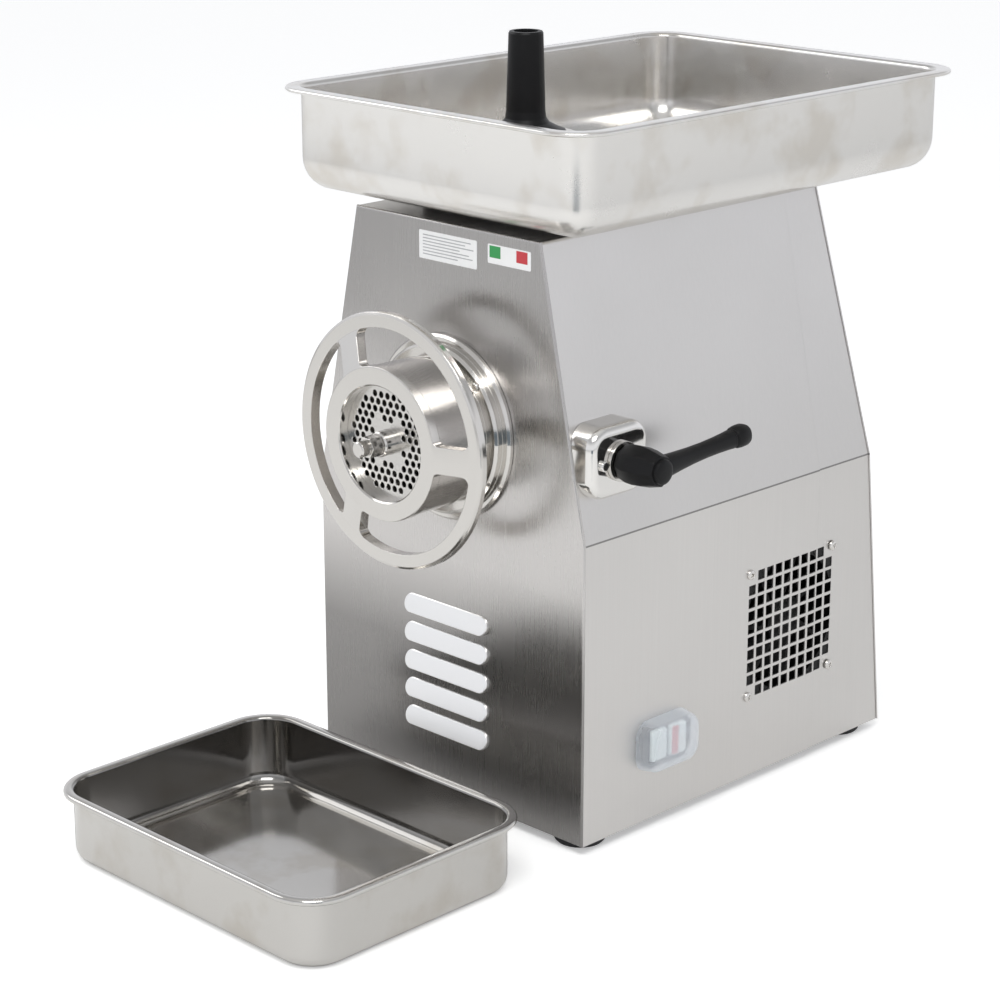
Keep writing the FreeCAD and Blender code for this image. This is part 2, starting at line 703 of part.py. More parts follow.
def make_barrel():
    """The cast barrel: flange outside the cabinet, plate seat in front, feed opening on top."""
    flange_back = FRONT - d.free_gap
    step = flange_back - d.flange_thick
    nose = step - d.flange_step
    shoulder = HUB_FACE + d.nut_length + 3
    bore_start = KNIFE_BACK + 2
    rear_wall = d.barrel_back - 10
    seat = d.plate_radius + 0.05
    journal = d.screw_core + 0.9 + d.run_clearance
    barrel = turned("head_barrel", [
        (seat, BARREL_FRONT), (THREAD_RADIUS, BARREL_FRONT), (THREAD_RADIUS, shoulder),
        (BARREL_RADIUS - d.slide_clearance, shoulder + 2),
        (BARREL_RADIUS - d.slide_clearance, nose), (FLANGE_STEP_RADIUS - 2, nose),
        (FLANGE_STEP_RADIUS, nose + 2), (FLANGE_STEP_RADIUS, step), (FLANGE_RADIUS - 2, step),
        (FLANGE_RADIUS, step + 2), (FLANGE_RADIUS, flange_back),
        (BARREL_RADIUS - d.slide_clearance, flange_back),
        (BARREL_RADIUS - d.slide_clearance, d.barrel_back), (journal, d.barrel_back),
        (journal, rear_wall), (BORE_RADIUS, rear_wall), (BORE_RADIUS, bore_start),
        (seat, bore_start)], "back", z=d.axis_height)
    mouth = sketch(barrel, "XZ_Plane", lift=0)
    draw_circle(mouth, 0, d.feed_y, d.neck_bore)
    pocket(barrel, mouth, BARREL_RADIUS + 5, back=True)
    pin_hole = sketch(barrel, "XY_Plane", lift=nose)
    draw_circle(pin_hole, PIN_X, -PIN_UP, PIN_RADIUS)
    pocket(barrel, pin_hole, PIN_DEPTH, back=True)
    pin = [(0, nose - 2.4), (PIN_RADIUS - 0.8, nose - 2.4), (PIN_RADIUS - 0.05, nose - 1.6),
           (PIN_RADIUS - 0.05, nose + PIN_DEPTH), (0, nose + PIN_DEPTH)]
    turned("head_pin", pin, "back", x=PIN_X, z=d.axis_height + PIN_UP)
    return barrel


def make_feed_screw():
    """Core, helical flight, the square for the knife, the journal and the tang for the drive."""
    front = KNIFE_BACK + 2.5
    back = d.barrel_back - 11
    journal = d.screw_core + 0.9
    feed = turned("auger", [
        (0, front), (d.screw_core, front), (d.screw_core, back), (journal, back),
        (journal, d.barrel_back + 1), (0, d.barrel_back + 1)], "back", z=d.axis_height)
    flight_radius = BORE_RADIUS - 0.6
    half = d.flight_thick / 2
    profile = sketch(feed)
    draw_polygon(profile, [(d.screw_core - 2, front + 0.5), (flight_radius, front + 1.5),
                           (flight_radius, front + 1.5 + half), (d.screw_core - 2, front + d.flight_thick)])
    helix = feed.newObject("PartDesign::AdditiveHelix", "Flight")
    helix.Profile = profile
    helix.ReferenceAxis = (profile, ["V_Axis"])
    helix.Mode = "pitch-height-angle"
    helix.Growth = 0
    helix.Angle = 0
    bind(helix, "Pitch", d.flight_pitch)
    bind(helix, "Height", back - front - d.flight_thick - 2)
    doc.recompute()
    square = sketch(feed, "XY_Plane", lift=PLATE_BACK + 0.3)
    draw_polygon(square, rectangle(0, 0, d.square_side, d.square_side))
    pad(feed, square, front - PLATE_BACK)
    tang = sketch(feed, "XY_Plane", lift=d.barrel_back + 0.5)
    draw_polygon(tang, rectangle(0, 0, TANG_SIDE, TANG_SIDE))
    pad(feed, tang, TANG_LENGTH)
    stud_start = PLATE_BACK + 0.2
    turned("auger_stud", [
        (0, stud_start), (d.stud_radius, stud_start), (d.stud_radius, PLATE_FACE - 9.5),
        (d.stud_radius - 1, PLATE_FACE - 10.5), (5, PLATE_FACE - 10.5), (5, PLATE_FACE - 22.5),
        (6.2, PLATE_FACE - 22.5), (6.2, PLATE_FACE - 30), (5, PLATE_FACE - 31), (0, PLATE_FACE - 31)],
        "back", z=d.axis_height)
    nut = body("stud_nut")
    place(nut, z=d.axis_height, aim="back")
    six = sketch(nut, "XY_Plane", lift=PLATE_FACE - 22.3)
    flats = 8.6
    corners = [(flats * math.cos(math.radians(60 * i)), flats * math.sin(math.radians(60 * i)))
               for i in range(6)]
    draw_polygon(six, corners)
    draw_circle(six, 0, 0, 5.05)
    pad(nut, six, 11.5)
    washer("auger_washer", journal + 0.3, BORE_RADIUS - 4, d.barrel_back - 10.9, d.barrel_back - 10.05,
           "back", z=d.axis_height)


def make_knife():
    """Four cutting arms round a square hole."""
    front = PLATE_BACK + 0.1
    knife = turned("knife", [(0, front), (17, front), (17, KNIFE_BACK), (0, KNIFE_BACK)], "back",
                   z=d.axis_height)
    arm = sketch(knife, "XY_Plane", lift=front)
    tip = d.plate_radius - 2
    draw_polygon(arm, [(10, -6), (tip - 3, -7), (tip, -2), (tip - 1, 4), (10, 7)])
    blade = pad(knife, arm, d.knife_thick * 0.7)
    polar(knife, blade, 4)
    hole = sketch(knife, "XY_Plane", lift=PLATE_BACK)
    side = d.square_side + 0.2
    draw_polygon(hole, rectangle(0, 0, side, side))
    pocket(knife, hole, d.knife_thick + 1, back=True)


def make_plate():
    """The perforated disc: holes in staggered rows between the plain centre and the rim."""
    blank = cut("plate_blank", cylinder("plate_disc", d.plate_radius, d.plate_thick, y=PLATE_FACE,
                                        z=d.axis_height, aim="back"),
                cylinder("plate_bore", d.stud_radius + d.run_clearance, d.plate_thick + 2,
                         y=PLATE_FACE - 1, z=d.axis_height, aim="back"))
    pitch = number(d.plate_hole_pitch)
    row_height = pitch * math.sqrt(3) / 2
    rows = int(number(PLATE_FIELD_RADIUS) / row_height)
    drills = []
    for row in range(-rows, rows + 1):
        shift = pitch / 2 if row % 2 else 0
        for step in range(-rows - 2, rows + 2):
            x, z = step * pitch + shift, row * row_height
            reach = math.hypot(x, z)
            if number(d.plate_plain_radius) < reach < number(PLATE_FIELD_RADIUS):
                drills.append(Part.makeCylinder(
                    number(d.plate_hole_radius), number(d.plate_thick) + 2,
                    Vector(x, number(PLATE_FACE) - 1, z + number(d.axis_height)), Vector(0, 1, 0)))
    field = doc.addObject("Part::Feature", "plate_drills")
    field.Shape = Part.makeCompound(drills)
    node(cut("plate", blank, field), "plate")


def make_wheel():
    """Ring nut, dished web with three windows, and the rim, in one casting."""
    rim_front = HUB_FACE + d.wheel_dish
    rim_back = rim_front + d.wheel_rim_thick
    nut_back = HUB_FACE + d.nut_length
    seat = PLATE_FACE - 0.05
    inner_rim = d.wheel_radius - d.wheel_rim_width
    thread = THREAD_RADIUS + d.slide_clearance
    soft = 2.5
    owner = doc.addObject("PartDesign::Body", "wheel_blank")
    made = draw_polygon(sketch(owner), [
        (NUT_OPENING + 1.2, HUB_FACE), (NUT_RADIUS, HUB_FACE), (inner_rim, rim_front),
        (d.wheel_radius - soft, rim_front), (d.wheel_radius - 0.6, rim_front + 0.8),
        (d.wheel_radius, rim_front + soft), (d.wheel_radius, rim_back - soft),
        (d.wheel_radius - soft, rim_back), (inner_rim, rim_back), (NUT_RADIUS, HUB_FACE + d.web_thick),
        (NUT_RADIUS, nut_back - 1.5), (NUT_RADIUS - 1.5, nut_back), (thread, nut_back),
        (thread, seat), (NUT_OPENING, seat), (NUT_OPENING, HUB_FACE + 1.2)])
    revolution = owner.newObject("PartDesign::Revolution", "Revolution")
    revolution.Profile = made
    revolution.ReferenceAxis = (made, ["V_Axis"])
    revolution.Angle = 360
    place(owner, z=d.axis_height, aim="back")
    doc.recompute()
    windows = window_cutter(HUB_FACE - 5, 40, NUT_RADIUS + 1, inner_rim)
    node(cut("ring_wheel", owner, windows), "ring_wheel")


def window_cutter(start, depth, inner, outer):
    """The three openings between the spokes, with rounded corners."""
    at = {"y": start, "z": d.axis_height, "aim": "back"}
    band = cut("window_band", cylinder("window_outer", outer, depth, **at),
               cylinder("window_inner", inner, depth, **at))
    spokes = []
    for angle in (0, 120, 240):
        turn = FreeCAD.Rotation(Vector(0, 1, 0), -angle)
        spoke = doc.addObject("Part::Box", f"spoke_{angle}")
        bind(spoke, "Length", outer + 10)
        bind(spoke, "Width", depth + 2)
        bind(spoke, "Height", d.spoke_width)
        offset = turn.multVec(Vector(0, 0, -number(d.spoke_width) / 2))
        spoke.Placement = FreeCAD.Placement(
            Vector(offset.x, number(start) - 1, offset.z + number(d.axis_height)), turn)
        spokes.append(spoke)
    gaps = cut("window_gaps", band, fused("window_spokes", *spokes))
    doc.recompute()
    rounded = doc.addObject("Part::Fillet", "window_rounded")
    rounded.Base = gaps
    radius = number(d.window_round)
    rounded.Edges = [(i, radius, radius) for i, edge in enumerate(gaps.Shape.Edges, start=1)
                     if along(edge, "y")]
    doc.recompute()
    return rounded


def make_head_socket():
    """The fixed sleeve that the barrel slides into, and the feed neck that stands on it."""
    start = FRONT + d.front_sheet + d.joint_gap
    bore = BARREL_RADIUS
    outer = bore + SOCKET_WALL
    socket = turned("head_socket", ring(bore, outer, start, d.box_front)[:2] + [
        (outer, d.box_front - 8), (outer + 12, d.box_front - 8), (outer + 12, d.box_front),
        (bore, d.box_front)], "back", z=d.axis_height)
    window = draw_circle(sketch(socket, "XZ_Plane"), 0, d.feed_y, NECK_OUTER + d.joint_gap)
    pocket(socket, window, outer + 5, back=True)
    clamp_hole = draw_circle(sketch(socket, "YZ_Plane"), d.axis_height - d.clamp_z, d.clamp_y,
                             SHOE_RADIUS + d.slide_clearance)
    pocket(socket, clamp_hole, outer + 5, back=True)
    low = d.axis_height + 20
    high = d.tray_floor - d.free_gap
    tube = turned("neck_tube", ring(d.neck_bore, NECK_OUTER, low, high), y=d.feed_y)
    NODES.remove(tube)
    drum = cylinder("neck_saddle", bore + d.joint_gap, 200, y=d.feed_y - 100, z=d.axis_height, aim="back")
    node(cut("feed_neck", tube, drum), "feed_neck")


# ---------------------------------------------------------------- clamp


def make_clamp():
    """A polished block on the leaning side, and the screw, shoe and lever that grip the barrel."""
    root_x = BOSS_FACE - BOSS_DEPTH
    boss = body("clamp_boss")
    face = rectangle(d.clamp_y, d.clamp_z, d.boss_length, d.boss_height)
    pad(boss, draw_polygon(sketch(boss, "YZ_Plane", lift=root_x), face), BOSS_FACE - root_x)
    soften(boss, d.boss_round, lambda e: along(e, "x"))
    soften(boss, 7, lambda e: level(e, "x", BOSS_FACE))
    low, high = d.crease_height - 40, d.cab_top
    gap = d.joint_gap
    trim = [(0, low), (side_x(low) + gap, low), (side_x(high) + gap, high), (0, high)]
    pocket(boss, draw_polygon(sketch(boss), trim), 2 * d.cab_depth, both=True)
    bore = sketch(boss, "YZ_Plane")
    draw_circle(bore, d.clamp_y, d.clamp_z, CLAMP_SLEEVE_RADIUS - 4)
    pocket(boss, bore, BOSS_FACE + 5, back=True)
    at = {"aim": "right", "y": d.clamp_y, "z": d.clamp_z}
    bolt = [(0, BOSS_FACE - 4), (2.5, BOSS_FACE - 4), (2.5, BOSS_FACE), (4, BOSS_FACE),
            (4, BOSS_FACE + 2.4), (3.2, BOSS_FACE + 3.2), (0, BOSS_FACE + 3.2)]
    recess = sketch(boss, "YZ_Plane", lift=BOSS_FACE - 4.2)
    draw_circle(recess, d.clamp_y - BOSS_BOLT_OFFSET, d.clamp_z, 2.55)
    pocket(boss, recess, 10, back=True)
    turned("boss_screw", bolt, "right", y=d.clamp_y - BOSS_BOLT_OFFSET, z=d.clamp_z)
    collar = BOSS_FACE + d.free_gap
    washer("clamp_washer", d.clamp_screw_radius + d.slide_clearance, 15.5, collar, collar + 3, **at)
    shoe_start = BARREL_RADIUS + 0.15
    shoe_end = shoe_start + 7
    turned("clamp_shoe", [(0, shoe_start), (SHOE_RADIUS - 1, shoe_start), (SHOE_RADIUS, shoe_start + 1),
                          (SHOE_RADIUS, shoe_end), (0, shoe_end)], **at)
    hub_start = collar + 3.3
    hub_end = hub_start + d.hub_length
    screw_end = hub_start + 22
    turned("clamp_screw", [(0, shoe_end + 0.1), (d.clamp_screw_radius, shoe_end + 0.1),
                           (d.clamp_screw_radius, screw_end), (0, screw_end)], **at)
    lever = turned("clamp_lever", [
        (d.clamp_screw_radius + 0.05, hub_start), (15, hub_start), (15.5, hub_start + 2),
        (14.5, hub_start + 20), (12.2, hub_end - 2), (11, hub_end), (0, hub_end), (0, screw_end + 0.1),
        (d.clamp_screw_radius + 0.05, screw_end + 0.1)], **at)
    arm_x = hub_end - 11
    narrow = 5
    bar = sketch(lever, "XY_Plane", lift=arm_x - narrow)
    reach = d.lever_reach
    edge = [(9, 0), (6, reach / 3), (narrow, reach / 1.8), (8.5, reach - 9), (8.5, reach), (5, reach + 4)]
    draw_polygon(bar, edge + [(-a, b) for a, b in reversed(edge)])
    pad(lever, bar, 2 * narrow + 2)
    soften(lever, 3.5, lambda e: e.BoundBox.YMin > 16)
    risen = FreeCAD.Rotation(Vector(1, 0, 0), LEVER_RISE).multiply(AIM["right"])
    place(lever, 0, d.clamp_y, d.clamp_z, turn=risen)


# ---------------------------------------------------------------- tray, guard, plunger, pan


def rounded_block(name, half_width, half_length, x, y, low, height, corner, base_round=None):
    """A block with round upright corners and, where asked, a round bottom edge."""
    owner = doc.addObject("PartDesign::Body", name)
    shape = rectangle(x, y, 2 * half_width, 2 * half_length)
    pad(owner, draw_polygon(sketch(owner, "XY_Plane", lift=low), shape), height)
    soften(owner, corner, lambda e: along(e, "z"))
    if base_round is not None:
        soften(owner, base_round, lambda e: level(e, "z", low))
    return owner


def pressed_tray(label, half_width, half_length, x, y, floor, depth, sheet, corner, base_round, flange, lip):
    """A pressed tray: a rounded box of sheet with a flange turned down round its top edge."""
    rim = floor + depth
    at = (x, y)
    lip_in = flange - sheet
    wall = rounded_block(f"{label}_wall", half_width, half_length, *at, floor, depth, corner, base_round)
    brim = rounded_block(f"{label}_brim", half_width + flange, half_length + flange, *at, rim - lip, lip,
                         corner + flange)
    soften(brim, lip * 0.45, lambda e: level(e, "z", rim))
    inside = rounded_block(f"{label}_inside", half_width - sheet, half_length - sheet, *at, floor + sheet,
                           depth + 10, corner - sheet, base_round - sheet)
    under = rounded_block(f"{label}_under", half_width + lip_in, half_length + lip_in, *at, rim - lip - 1,
                          lip + 1 - sheet, corner + lip_in)
    core = rounded_block(f"{label}_core", half_width, half_length, *at, rim - lip - 5, lip + 10, corner)
    spaces = fused(f"{label}_spaces", inside, cut(f"{label}_brim_space", under, core))
    return cut(f"{label}_shell", fused(f"{label}_solid", wall, brim), spaces)


def make_tray():
    shell = pressed_tray("tray", d.tray_half_width, d.tray_half_length, 0, d.tray_y, d.tray_floor,
                         d.tray_depth, d.tray_sheet, d.tray_corner, d.tray_bottom_round,
                         d.tray_flange, d.tray_lip)
    feed_hole = cylinder("tray_hole", GUARD_BORE + d.joint_gap, 20, y=d.feed_y, z=d.tray_floor - 10)
    node(cut("tray", shell, feed_hole), "tray")
    wall = GUARD_BORE + d.guard_sheet
    low = d.tray_floor + d.tray_sheet
    top = d.guard_top
    turned("throat_guard", [
        (GUARD_BORE, low), (wall + 9, low), (wall + 9, low + d.guard_sheet), (wall, low + d.guard_sheet + 2),
        (wall, top - 5.5), (d.guard_radius - 3, top - 5.5), (d.guard_radius - 3, top - 7),
        (d.guard_radius, top - 7), (d.guard_radius, top - 3), (d.guard_radius - 1.2, top - 1),
        (d.guard_radius - 4, top), (GUARD_BORE + 1, top), (GUARD_BORE, top - 1)], y=d.feed_y)
    seat = top + d.free_gap
    turned("plunger", [
        (0, d.plunger_tip), (d.plunger_shank - 3, d.plunger_tip), (d.plunger_shank, d.plunger_tip + 3),
        (d.plunger_shank, seat), (d.plunger_flange - 0.8, seat), (d.plunger_flange, seat + 0.8),
        (d.plunger_flange, seat + 3), (26, seat + 5), (18.5, seat + 9), (16, seat + 12.5),
        (15.2, seat + 18), (13.4, d.plunger_top - 1.5), (12.6, d.plunger_top),
        (9.6, d.plunger_top), (9.3, d.plunger_top - 8), (0, d.plunger_top - 9)], y=d.feed_y)


def make_pan():
    shell = pressed_tray("pan", d.pan_half_length, d.pan_half_width, d.pan_x, d.pan_y, 0, d.pan_height,
                         d.pan_sheet, d.pan_corner, d.pan_bottom_round, d.pan_flange, d.pan_lip)
    node(shell, "pan")


# ---------------------------------------------------------------- switch


def make_switch():
    """Switch body in the side, two press buttons and the clear cover that keeps splashes off."""
    face = HALF_WIDTH
    y, z = d.switch_y, d.switch_z
    depth = 44
    bezel = 5
    switch = body("switch_body")
    box = sketch(switch, "YZ_Plane", lift=face - depth)
    draw_polygon(box, rectangle(y, z, SWITCH_BODY_LENGTH, SWITCH_BODY_HEIGHT))
    pad(switch, box, depth + 0.2)
    front = sketch(switch, "YZ_Plane", lift=face + 0.1)
    draw_polygon(front, clipped(y, z, d.switch_length - 6, d.switch_height - 6, 8))
    pad(switch, front, bezel)
    button_gap = 2
    start_y = y - (d.button_length + button_gap) / 2
    stop_y = y + (d.button_length + button_gap) / 2
    wells = sketch(switch, "YZ_Plane", lift=face - 8)
    for centre in (start_y, stop_y):
        draw_polygon(wells, rectangle(centre, z, d.button_length + 2 * d.free_gap,
                                      d.button_height + 2 * d.free_gap))
    pocket(switch, wells, 30, back=True)
    for label, centre, proud in (("start_button", start_y, 2.5), ("stop_button", stop_y, 4)):
        button = body(label)
        cap = sketch(button, "YZ_Plane", lift=face - 3.5)
        draw_polygon(cap, rectangle(centre, z, d.button_length, d.button_height))
        pad(button, cap, 3.5 + bezel + proud)
        soften(button, 1.5, lambda e, p=proud: level(e, "x", face + bezel + p))
    cover = body("switch_cover")
    skin = 1.6
    shell = sketch(cover, "YZ_Plane", lift=face + 0.1)
    draw_polygon(shell, rectangle(y, z, d.switch_length, d.switch_height))
    pad(cover, shell, d.switch_proud)
    soften(cover, 13, lambda e: along(e, "x"))
    soften(cover, 6, lambda e: level(e, "x", face + 0.1 + d.switch_proud))
    hollow = sketch(cover, "YZ_Plane", lift=face)
    inner_length = d.switch_length - 2 * skin
    inner_height = d.switch_height - 2 * skin
    draw_polygon(hollow, clipped(y, z, inner_length, inner_height, 8))
    pocket(cover, hollow, d.switch_proud - 4, back=True)


def clipped(across, up, width, height, corner):
    """A rectangle with its corners cut off."""
    left, right = across - width / 2, across + width / 2
    low, high = up - height / 2, up + height / 2
    return [(left + corner, low), (right - corner, low), (right, low + corner), (right, high - corner),
            (right - corner, high), (left + corner, high), (left, high - corner), (left, low + corner)]


# ---------------------------------------------------------------- gears


def involute_gear(teeth, module, width, bore, first_tooth):
    """A spur gear about Z, its first tooth centred at an angle; 20 degree involute flanks."""
    teeth = int(number(teeth))
    module, width = number(module), number(width)
    pitch_radius = module * teeth / 2
    pressure = math.radians(20)
    base_radius = pitch_radius * math.cos(pressure)
    tip_radius = pitch_radius + module - number(d.tooth_clearance) / 2
    root_radius = pitch_radius - 1.25 * module
    roll = math.tan(pressure) - pressure
    thin = number(d.backlash) / 2 / pitch_radius
    half_at_base = math.pi / (2 * teeth) + roll - thin / 2
    start_radius = max(base_radius, root_radius)

    def flank(radius):
        ratio = min(1.0, base_radius / radius)
        angle = math.acos(ratio)
        return half_at_base - (math.tan(angle) - angle)

    def point(radius, angle):
        return Vector(radius * math.cos(angle), radius * math.sin(angle), 0)

    steps = 4
    radii = [start_radius + (tip_radius - start_radius) * i / steps for i in range(steps + 1)]
    corners = []
    for tooth in range(teeth):
        middle = math.radians(first_tooth) + 2 * math.pi * tooth / teeth
        foot = flank(start_radius)
        corners.append(point(root_radius, middle - foot))
        corners += [point(r, middle - flank(r)) for r in radii]
        corners += [point(r, middle + flank(r)) for r in reversed(radii)]
        corners.append(point(root_radius, middle + foot))
    tidy = [corners[0]]
    for corner in corners[1:]:
        if corner.distanceToPoint(tidy[-1]) > 1e-3:
            tidy.append(corner)
    blank = Part.Face(Part.makePolygon(tidy + tidy[:1])).extrude(Vector(0, 0, width))
    return blank.cut(Part.makeCylinder(number(bore) + 0.01, width))


def make_gears():
    """Two reductions: motor pinion to lay gear, lay pinion to drive gear, in mesh at rest."""
    drive_start = CAVITY_FRONT + 3
    fine_start = drive_start + d.drive_face + 6
    up, down = -90, 90                                   # angles once the gear's axis points back
    drive = involute_gear(d.drive_teeth, d.gear_module, d.drive_face, d.drive_shaft_radius, down)
    free_shape("drive_gear", drive, y=drive_start, z=d.axis_height, aim="back")
    half_step = 180 / number(d.lay_pinion_teeth)
    lay_pinion = involute_gear(d.lay_pinion_teeth, d.gear_module, d.drive_face, d.lay_shaft_radius,
                               up + half_step)
    free_shape("lay_pinion", lay_pinion, y=drive_start, z=LAY_HEIGHT, aim="back")
    lay_gear = involute_gear(d.lay_teeth, d.fine_module, d.fine_face, d.lay_shaft_radius, down)
    free_shape("lay_gear", lay_gear, y=fine_start, z=LAY_HEIGHT, aim="back")
    half_step = 180 / number(d.motor_pinion_teeth)
    pinion = involute_gear(d.motor_pinion_teeth, d.fine_module, d.fine_face, d.motor_shaft_radius,
                           up + half_step)
    free_shape("motor_pinion", pinion, y=fine_start, z=MOTOR_HEIGHT, aim="back")


# ---------------------------------------------------------------- gearbox


def hull(discs):
    """The face inside a belt round discs that stand one above another: (height, radius), top first."""
    arcs, lefts, rights = [], [], []
    for (z1, r1), (z2, r2) in zip(discs, discs[1:]):
        tilt = math.asin((r1 - r2) / (z1 - z2))
        lefts.append(((-r1 * math.cos(tilt), z1 - r1 * math.sin(tilt)),
                      (-r2 * math.cos(tilt), z2 - r2 * math.sin(tilt))))
    outline = Part.Wire(belt_edges(discs, lefts))
    return Part.Face(outline)


def belt_edges(discs, lefts):
    def left(p):
        return Vector(p[0], 0, p[1])

    def right(p):
        return Vector(-p[0], 0, p[1])

    edges = []
    top_z, top_r = discs[0]
    edges.append(Part.Arc(left(lefts[0][0]), Vector(0, 0, top_z + top_r), right(lefts[0][0])).toShape())
    for i, (upper, lower) in enumerate(lefts):
        edges.append(Part.LineSegment(right(upper), right(lower)).toShape())
        if i + 1 < len(lefts):
            edges.append(arc_between(right(lower), right(lefts[i + 1][0]), discs[i + 1]))
    low_z, low_r = discs[-1]
    edges.append(Part.Arc(right(lefts[-1][1]), Vector(0, 0, low_z - low_r), left(lefts[-1][1])).toShape())
    for i in reversed(range(len(lefts))):
        upper, lower = lefts[i]
        edges.append(Part.LineSegment(left(lower), left(upper)).toShape())
        if i > 0:
            edges.append(arc_between(left(upper), left(lefts[i - 1][1]), discs[i]))
    return edges


def arc_between(first, last, disc):
    """The short arc of a disc between two points of its edge."""
    z, r = disc
    middle = (first + last) * 0.5 - Vector(0, 0, z)
    middle = Vector(0, 0, z) + middle * (r / middle.Length)
    return Part.Arc(first, middle, last).toShape()


def belt_solid(grow, start, depth):
    """A slab of the gearbox's outline: round the drive gear, the lay gear and the motor pinion."""
    drive_tip = d.gear_module * (d.drive_teeth / 2 + 1)
    lay_tip = d.fine_module * (d.lay_teeth / 2 + 1)
    pinion_tip = d.fine_module * (d.motor_pinion_teeth / 2 + 1)
    discs = [(number(d.axis_height), number(drive_tip) + grow),
             (number(LAY_HEIGHT), number(lay_tip) + grow),
             (number(MOTOR_HEIGHT), number(pinion_tip) + grow + 8)]
    slab = hull(discs).extrude(Vector(0, number(depth), 0))
    slab.translate(Vector(0, number(start), 0))
    return slab


def rod_back(radius, depth, start, height):
    """A cylinder that runs back from a station, at x = 0."""
    return Part.makeCylinder(radius, number(depth), Vector(0, number(start), number(height)),
                             Vector(0, 1, 0))


def bearing_seats(radii, start, depth):
    """Cylinders at the drive and lay shafts."""
    return [rod_back(radius, depth, start, z) for radius, z in zip(radii, (d.axis_height, LAY_HEIGHT))]


def make_gearbox():
    skin = number(d.box_skin)
    whole = belt_solid(4 + skin, d.box_front, d.box_front_wall + d.box_cavity)
    cavity = belt_solid(4, CAVITY_FRONT, d.box_cavity)
    seats = bearing_seats((DRIVE_SEAT, LAY_SEAT), CAVITY_FRONT - BEARING_WIDTH, BEARING_WIDTH + 1)
    drive_hole = rod_back(SEAL_RADIUS, 60, d.box_front - 1, d.axis_height)
    housing = whole.cut(cavity)
    for tool in seats + [drive_hole]:
        housing = housing.cut(tool)
    free_shape("gear_housing", housing)
    cover = belt_solid(4 + skin, CAVITY_BACK, d.cover_thick)
    knobs = bearing_seats((DRIVE_SEAT + 6, LAY_SEAT + 6), CAVITY_BACK + 1, d.cover_thick + 9)
    spigot = number(d.cover_thick + d.motor_gap - 1 - d.joint_gap)
    knobs.append(rod_back(2 * MOTOR_SEAT, spigot, CAVITY_BACK + 1, MOTOR_HEIGHT))
    for knob in knobs:
        cover = cover.fuse(knob)
    for seat in bearing_seats((DRIVE_SEAT, LAY_SEAT), CAVITY_BACK - 1, BEARING_WIDTH - 1):
        cover = cover.cut(seat)
    cover = cover.cut(rod_back(MOTOR_SEAT, 60, CAVITY_BACK - 1, MOTOR_HEIGHT))
    free_shape("gear_cover", cover)
    washer("shaft_seal", d.drive_shaft_radius + d.run_clearance, SEAL_RADIUS, d.box_front + 0.5,
           CAVITY_FRONT - BEARING_WIDTH - 0.2, "back", z=d.axis_height)
    make_bearings()


def make_bearings():
    front = CAVITY_FRONT - BEARING_WIDTH
    back = CAVITY_BACK
    at_drive = {"aim": "back", "z": d.axis_height}
    at_lay = {"aim": "back", "z": LAY_HEIGHT}
    members = []
    for shaft, seat, at in ((d.drive_shaft_radius, DRIVE_SEAT, at_drive),
                            (d.lay_shaft_radius, LAY_SEAT, at_lay)):
        for start, width in ((front + 0.1, BEARING_WIDTH - 0.2), (back, BEARING_WIDTH - 2.2)):
            race = washer("gear_race", shaft + d.run_clearance, seat, start, start + width, **at)
            NODES.remove(race)
            members.append(race)
    group("gear_bearings", *members)


def make_shafts():
    back = CAVITY_BACK + BEARING_WIDTH - 3
    front = d.barrel_back + 2
    shaft = turned("drive_shaft", [(0, front), (d.drive_shaft_radius, front), (d.drive_shaft_radius, back),
                                   (0, back)], "back", z=d.axis_height)
    hole = sketch(shaft, "XY_Plane", lift=front)
    draw_polygon(hole, rectangle(0, 0, TANG_SIDE + 0.4, TANG_SIDE + 0.4))
    pocket(shaft, hole, TANG_LENGTH, back=True)
    start = CAVITY_FRONT - BEARING_WIDTH + 0.5
    turned("lay_shaft", [(0, start), (d.lay_shaft_radius, start), (d.lay_shaft_radius, back), (0, back)],
           "back", z=LAY_HEIGHT)


def make_stand():
    """The upright that the gearbox bolts to, with its foot on the base plate."""
    stand = body("gearbox_stand")
    low = d.foot_height + d.base_sheet
    back = d.box_front
    high = d.axis_height - BARREL_RADIUS - SOCKET_WALL - 14
    side = [(back, low), (back, high), (back - 6, high), (back - 6, low + 5), (back - 50, low + 5),
            (back - 50, low)]
    pad(stand, draw_polygon(sketch(stand, "YZ_Plane"), side), 110, both=True)


# ---------------------------------------------------------------- motor and fan


